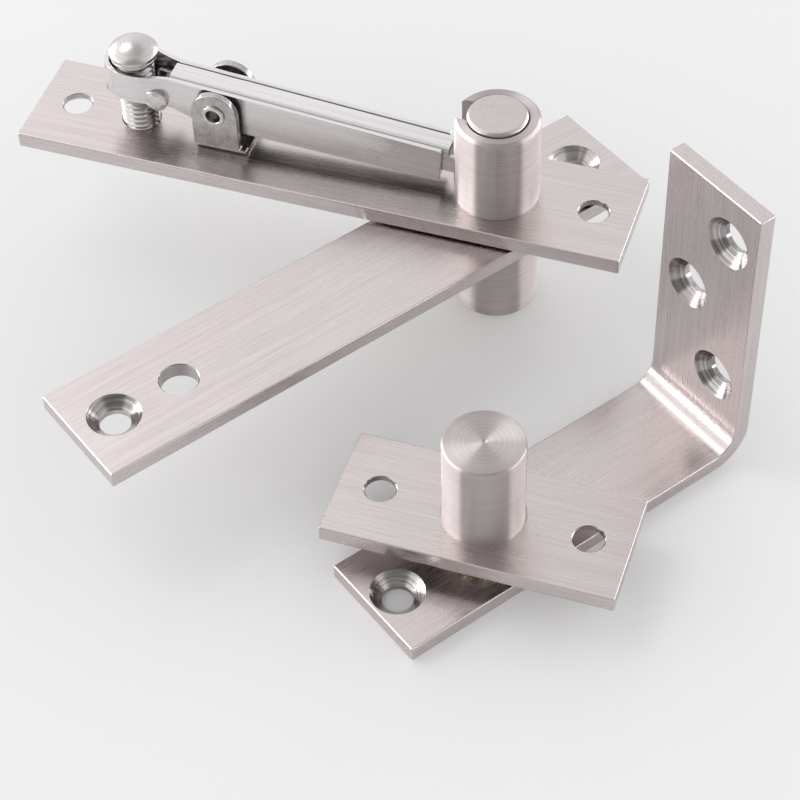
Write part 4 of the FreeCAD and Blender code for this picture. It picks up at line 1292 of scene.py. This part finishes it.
@dataclass
class DoorBottomSet:
    """Short plate in the bottom edge of the door, with its closed cup and bush."""

    half_length: float = 29.0
    hole: float = 20.7
    cup_radius: float = 8.0
    cup_length: float = 21.0
    cup_floor: float = 4.0
    collar: float = 0.4
    bush_outside: float = 6.06
    bush_inside: float = 5.06
    centre_mark: float = 0.6

    def plate(self) -> bpy.types.Object:
        """Short plate with two screw holes.

        Returns:
            The piece.
        """
        seat = STOCK.seat(self.cup_radius + self.collar)
        bar = STOCK.plate((self.half_length,) * 2, (-self.hole, self.hole), False, seat)
        return bar.piece("door_bottom_plate", "door_bottom", spot(0, 0, DOOR_BOTTOM_LOW))

    def cup(self) -> bpy.types.Object:
        """Closed cup with the turning centre in its end.

        Returns:
            The piece.
        """
        low = DOOR_BOTTOM_TOP
        top = low + self.cup_length
        foot = DOOR_BOTTOM_LOW
        inside = top - self.cup_floor
        wide = self.cup_radius + self.collar
        profile = [
            (0, top - self.centre_mark * 0.6), (self.centre_mark, top, 0.15), (self.cup_radius, top, 0.5),
            (self.cup_radius, low), (wide, low), (wide, foot), (self.bush_outside, foot),
            (self.bush_outside, inside), (0, inside),
        ]
        return Blank.turned(profile, TURNED, 160).piece("door_bottom_cup", "door_bottom", spot(0, 0, 0))

    def bush(self) -> bpy.types.Object:
        """Bush on the floor pin.

        Returns:
            The piece.
        """
        top = DOOR_BOTTOM_TOP + self.cup_length - self.cup_floor
        low = DOOR_BOTTOM_LOW
        inside = self.bush_inside
        outside = self.bush_outside
        profile = [(inside, low, 0.15), (outside, low), (outside, top), (inside, top)]
        return Blank.turned(profile, BRASS, 96).piece("door_bottom_bush", "door_bottom", spot(0, 0, 0))

    def build(self) -> List[bpy.types.Object]:
        """Build the pieces in the bottom of the door."""
        return [self.plate(), self.cup(), self.bush()]


@dataclass(frozen=True)
class Room:
    """What the metal mirrors, where a brightness of 1 is white.

    A direction is a unit vector, and a pair is the part of it over which a brightness changes.
    """

    camera_way: Point = (0.34, -0.94)
    right_way: Point = (0.95, 0.31)
    plain: float = 1.25
    top_loss: float = 0.45
    top: Point = (0.7, 1.0)
    lean_loss: float = 0.3
    lean: Point = (-0.4, 0.4)
    left_box: float = 8.0
    right_box: float = 5.0
    box: Point = (0.6, 0.8)
    box_top: Point = (0.12, 0.36)
    dark: float = 0.35
    dark_side: Point = (0.44, 0.62)
    dark_top: Point = (0.84, 1.0)

    def brightness(self, x: Term, y: Term, z: Term) -> Term:
        """Brightness of the room in one direction.

        Args:
            x: Direction's part along X.
            y: Direction's part along Y.
            z: Direction's part upwards.

        Returns:
            Pale all round with a bright box at the left and at the right, and dark towards the camera.
        """
        front = x * self.camera_way[0] + y * self.camera_way[1]
        right = x * self.right_way[0] + y * self.right_way[1]
        near, far = self.box
        boxes = right.span(-near, -far) * self.left_box + right.span(near, far) * self.right_box
        pale = self.plain - z.span(*self.top) * self.top_loss - right.span(*self.lean) * self.lean_loss
        pale = pale + boxes * (1 - z.span(*self.box_top))
        shade = front.span(*self.dark_side) * (1 - z.span(*self.dark_top))
        return pale + shade * (self.dark - pale)


@dataclass
class Studio:
    """Floor, lamp, surroundings and camera, in metres."""

    eye: Point = (0.08195, -0.27556, 0.36923)
    forward: Point = (-0.2221, 0.6241, -0.7491)
    upward: Point = (-0.2199, 0.7164, 0.6621)
    lens: float = 108.45
    floor_tone: float = 0.93
    level: float = 0.91
    overhead: float = 0.2
    underneath: float = 4.8
    brightest: float = 10.0
    middle: Point = (-0.03, 0.04, 0.02)
    lamp_place: Point = (-0.524, 0.211, 0.813)
    lamp_size: float = 0.55
    lamp_power: float = 1.0

    def camera(self) -> None:
        """Camera at the photograph's angle."""
        data = bpy.data.cameras.new("camera")
        data.lens = self.lens
        data.sensor_width = 36.0
        data.clip_start = 0.01
        made = placed("camera", data)
        back = -Vector(self.forward).normalized()
        side = Vector(self.upward).cross(back).normalized()
        up = back.cross(side)
        turn = Matrix((side, up, back)).transposed().to_4x4()
        made.matrix_world = Matrix.Translation(self.eye) @ turn
        bpy.context.scene.camera = made

    def floor(self) -> None:
        """Pale floor that keeps the shadows."""
        shape = bmesh.new()
        bmesh.ops.create_grid(shape, x_segments=1, y_segments=1, size=3.0)
        mesh = bpy.data.meshes.new("floor")
        shape.to_mesh(mesh)
        shape.free()
        made = placed("floor", mesh)
        material = bpy.data.materials.new("floor_paper")
        wiring = Wiring(material)
        tone = self.floor_tone
        surface = wiring.node("ShaderNodeBsdfPrincipled", {}, {
            "Base Color": (tone, tone, tone * 1.004, 1.0), "Roughness": 0.9, "Specular IOR Level": 0.1,
        })
        wiring.node("ShaderNodeOutputMaterial", {}, {"Surface": surface.outputs[0]})
        mesh.materials.append(material)

    def surroundings(self) -> None:
        """Room that the metal mirrors, and an even light that is brighter low down for the floor."""
        world = bpy.data.worlds.new("room")
        bpy.context.scene.world = world
        wiring = Wiring(world)
        way = wiring.node("ShaderNodeTexCoord", {}, {}).outputs["Generated"]
        x, y, z = wiring.axes(way)
        share = Room().brightness(x, y, z) * (1 / self.brightest)
        grey = wiring.blend(share, (0.0,) * 3, (self.brightest,) * 3)
        seen = wiring.node("ShaderNodeBackground", {}, {"Color": grey, "Strength": 1.0})
        sky = wiring.blend((1 - z) * 0.5, (self.overhead,) * 3, (self.underneath,) * 3)
        even = wiring.node("ShaderNodeBackground", {}, {"Color": sky, "Strength": self.level})
        path = wiring.node("ShaderNodeLightPath", {}, {})
        camera, glossy, clear = (
            wiring.term(path, name) for name in ("Is Camera Ray", "Is Glossy Ray", "Is Transmission Ray")
        )
        mixed = wiring.node("ShaderNodeMixShader", {}, {
            0: camera + glossy + clear, 1: even.outputs[0], 2: seen.outputs[0],
        })
        wiring.node("ShaderNodeOutputWorld", {}, {"Surface": mixed.outputs[0]})

    def light(self) -> None:
        """Soft lamp above and to the left."""
        data = bpy.data.lights.new("key", "AREA")
        data.shape = "DISK"
        data.size = self.lamp_size
        data.energy = self.lamp_power
        made = placed("key", data)
        made.location = self.lamp_place
        made.rotation_mode = "QUATERNION"
        made.rotation_quaternion = (Vector(self.middle) - made.location).to_track_quat("-Z", "Y")

    def build(self) -> None:
        """Set up the studio."""
        self.camera()
        self.floor()
        self.surroundings()
        self.light()
        bpy.context.scene.view_settings.view_transform = "Standard"


def main() -> None:
    """Build the part and its studio."""
    logging.basicConfig(level=logging.INFO, format="%(message)s")
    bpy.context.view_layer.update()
    Studio().build()
    for group in (HeadSet(), LiftingLever(), LiftingScrew(), DoorTopSet(), FloorSet(), DoorBottomSet()):
        pieces = group.build()
        log.info("%s: %d pieces", type(group).__name__, len(pieces))


if __name__ == "__main__":
    main()
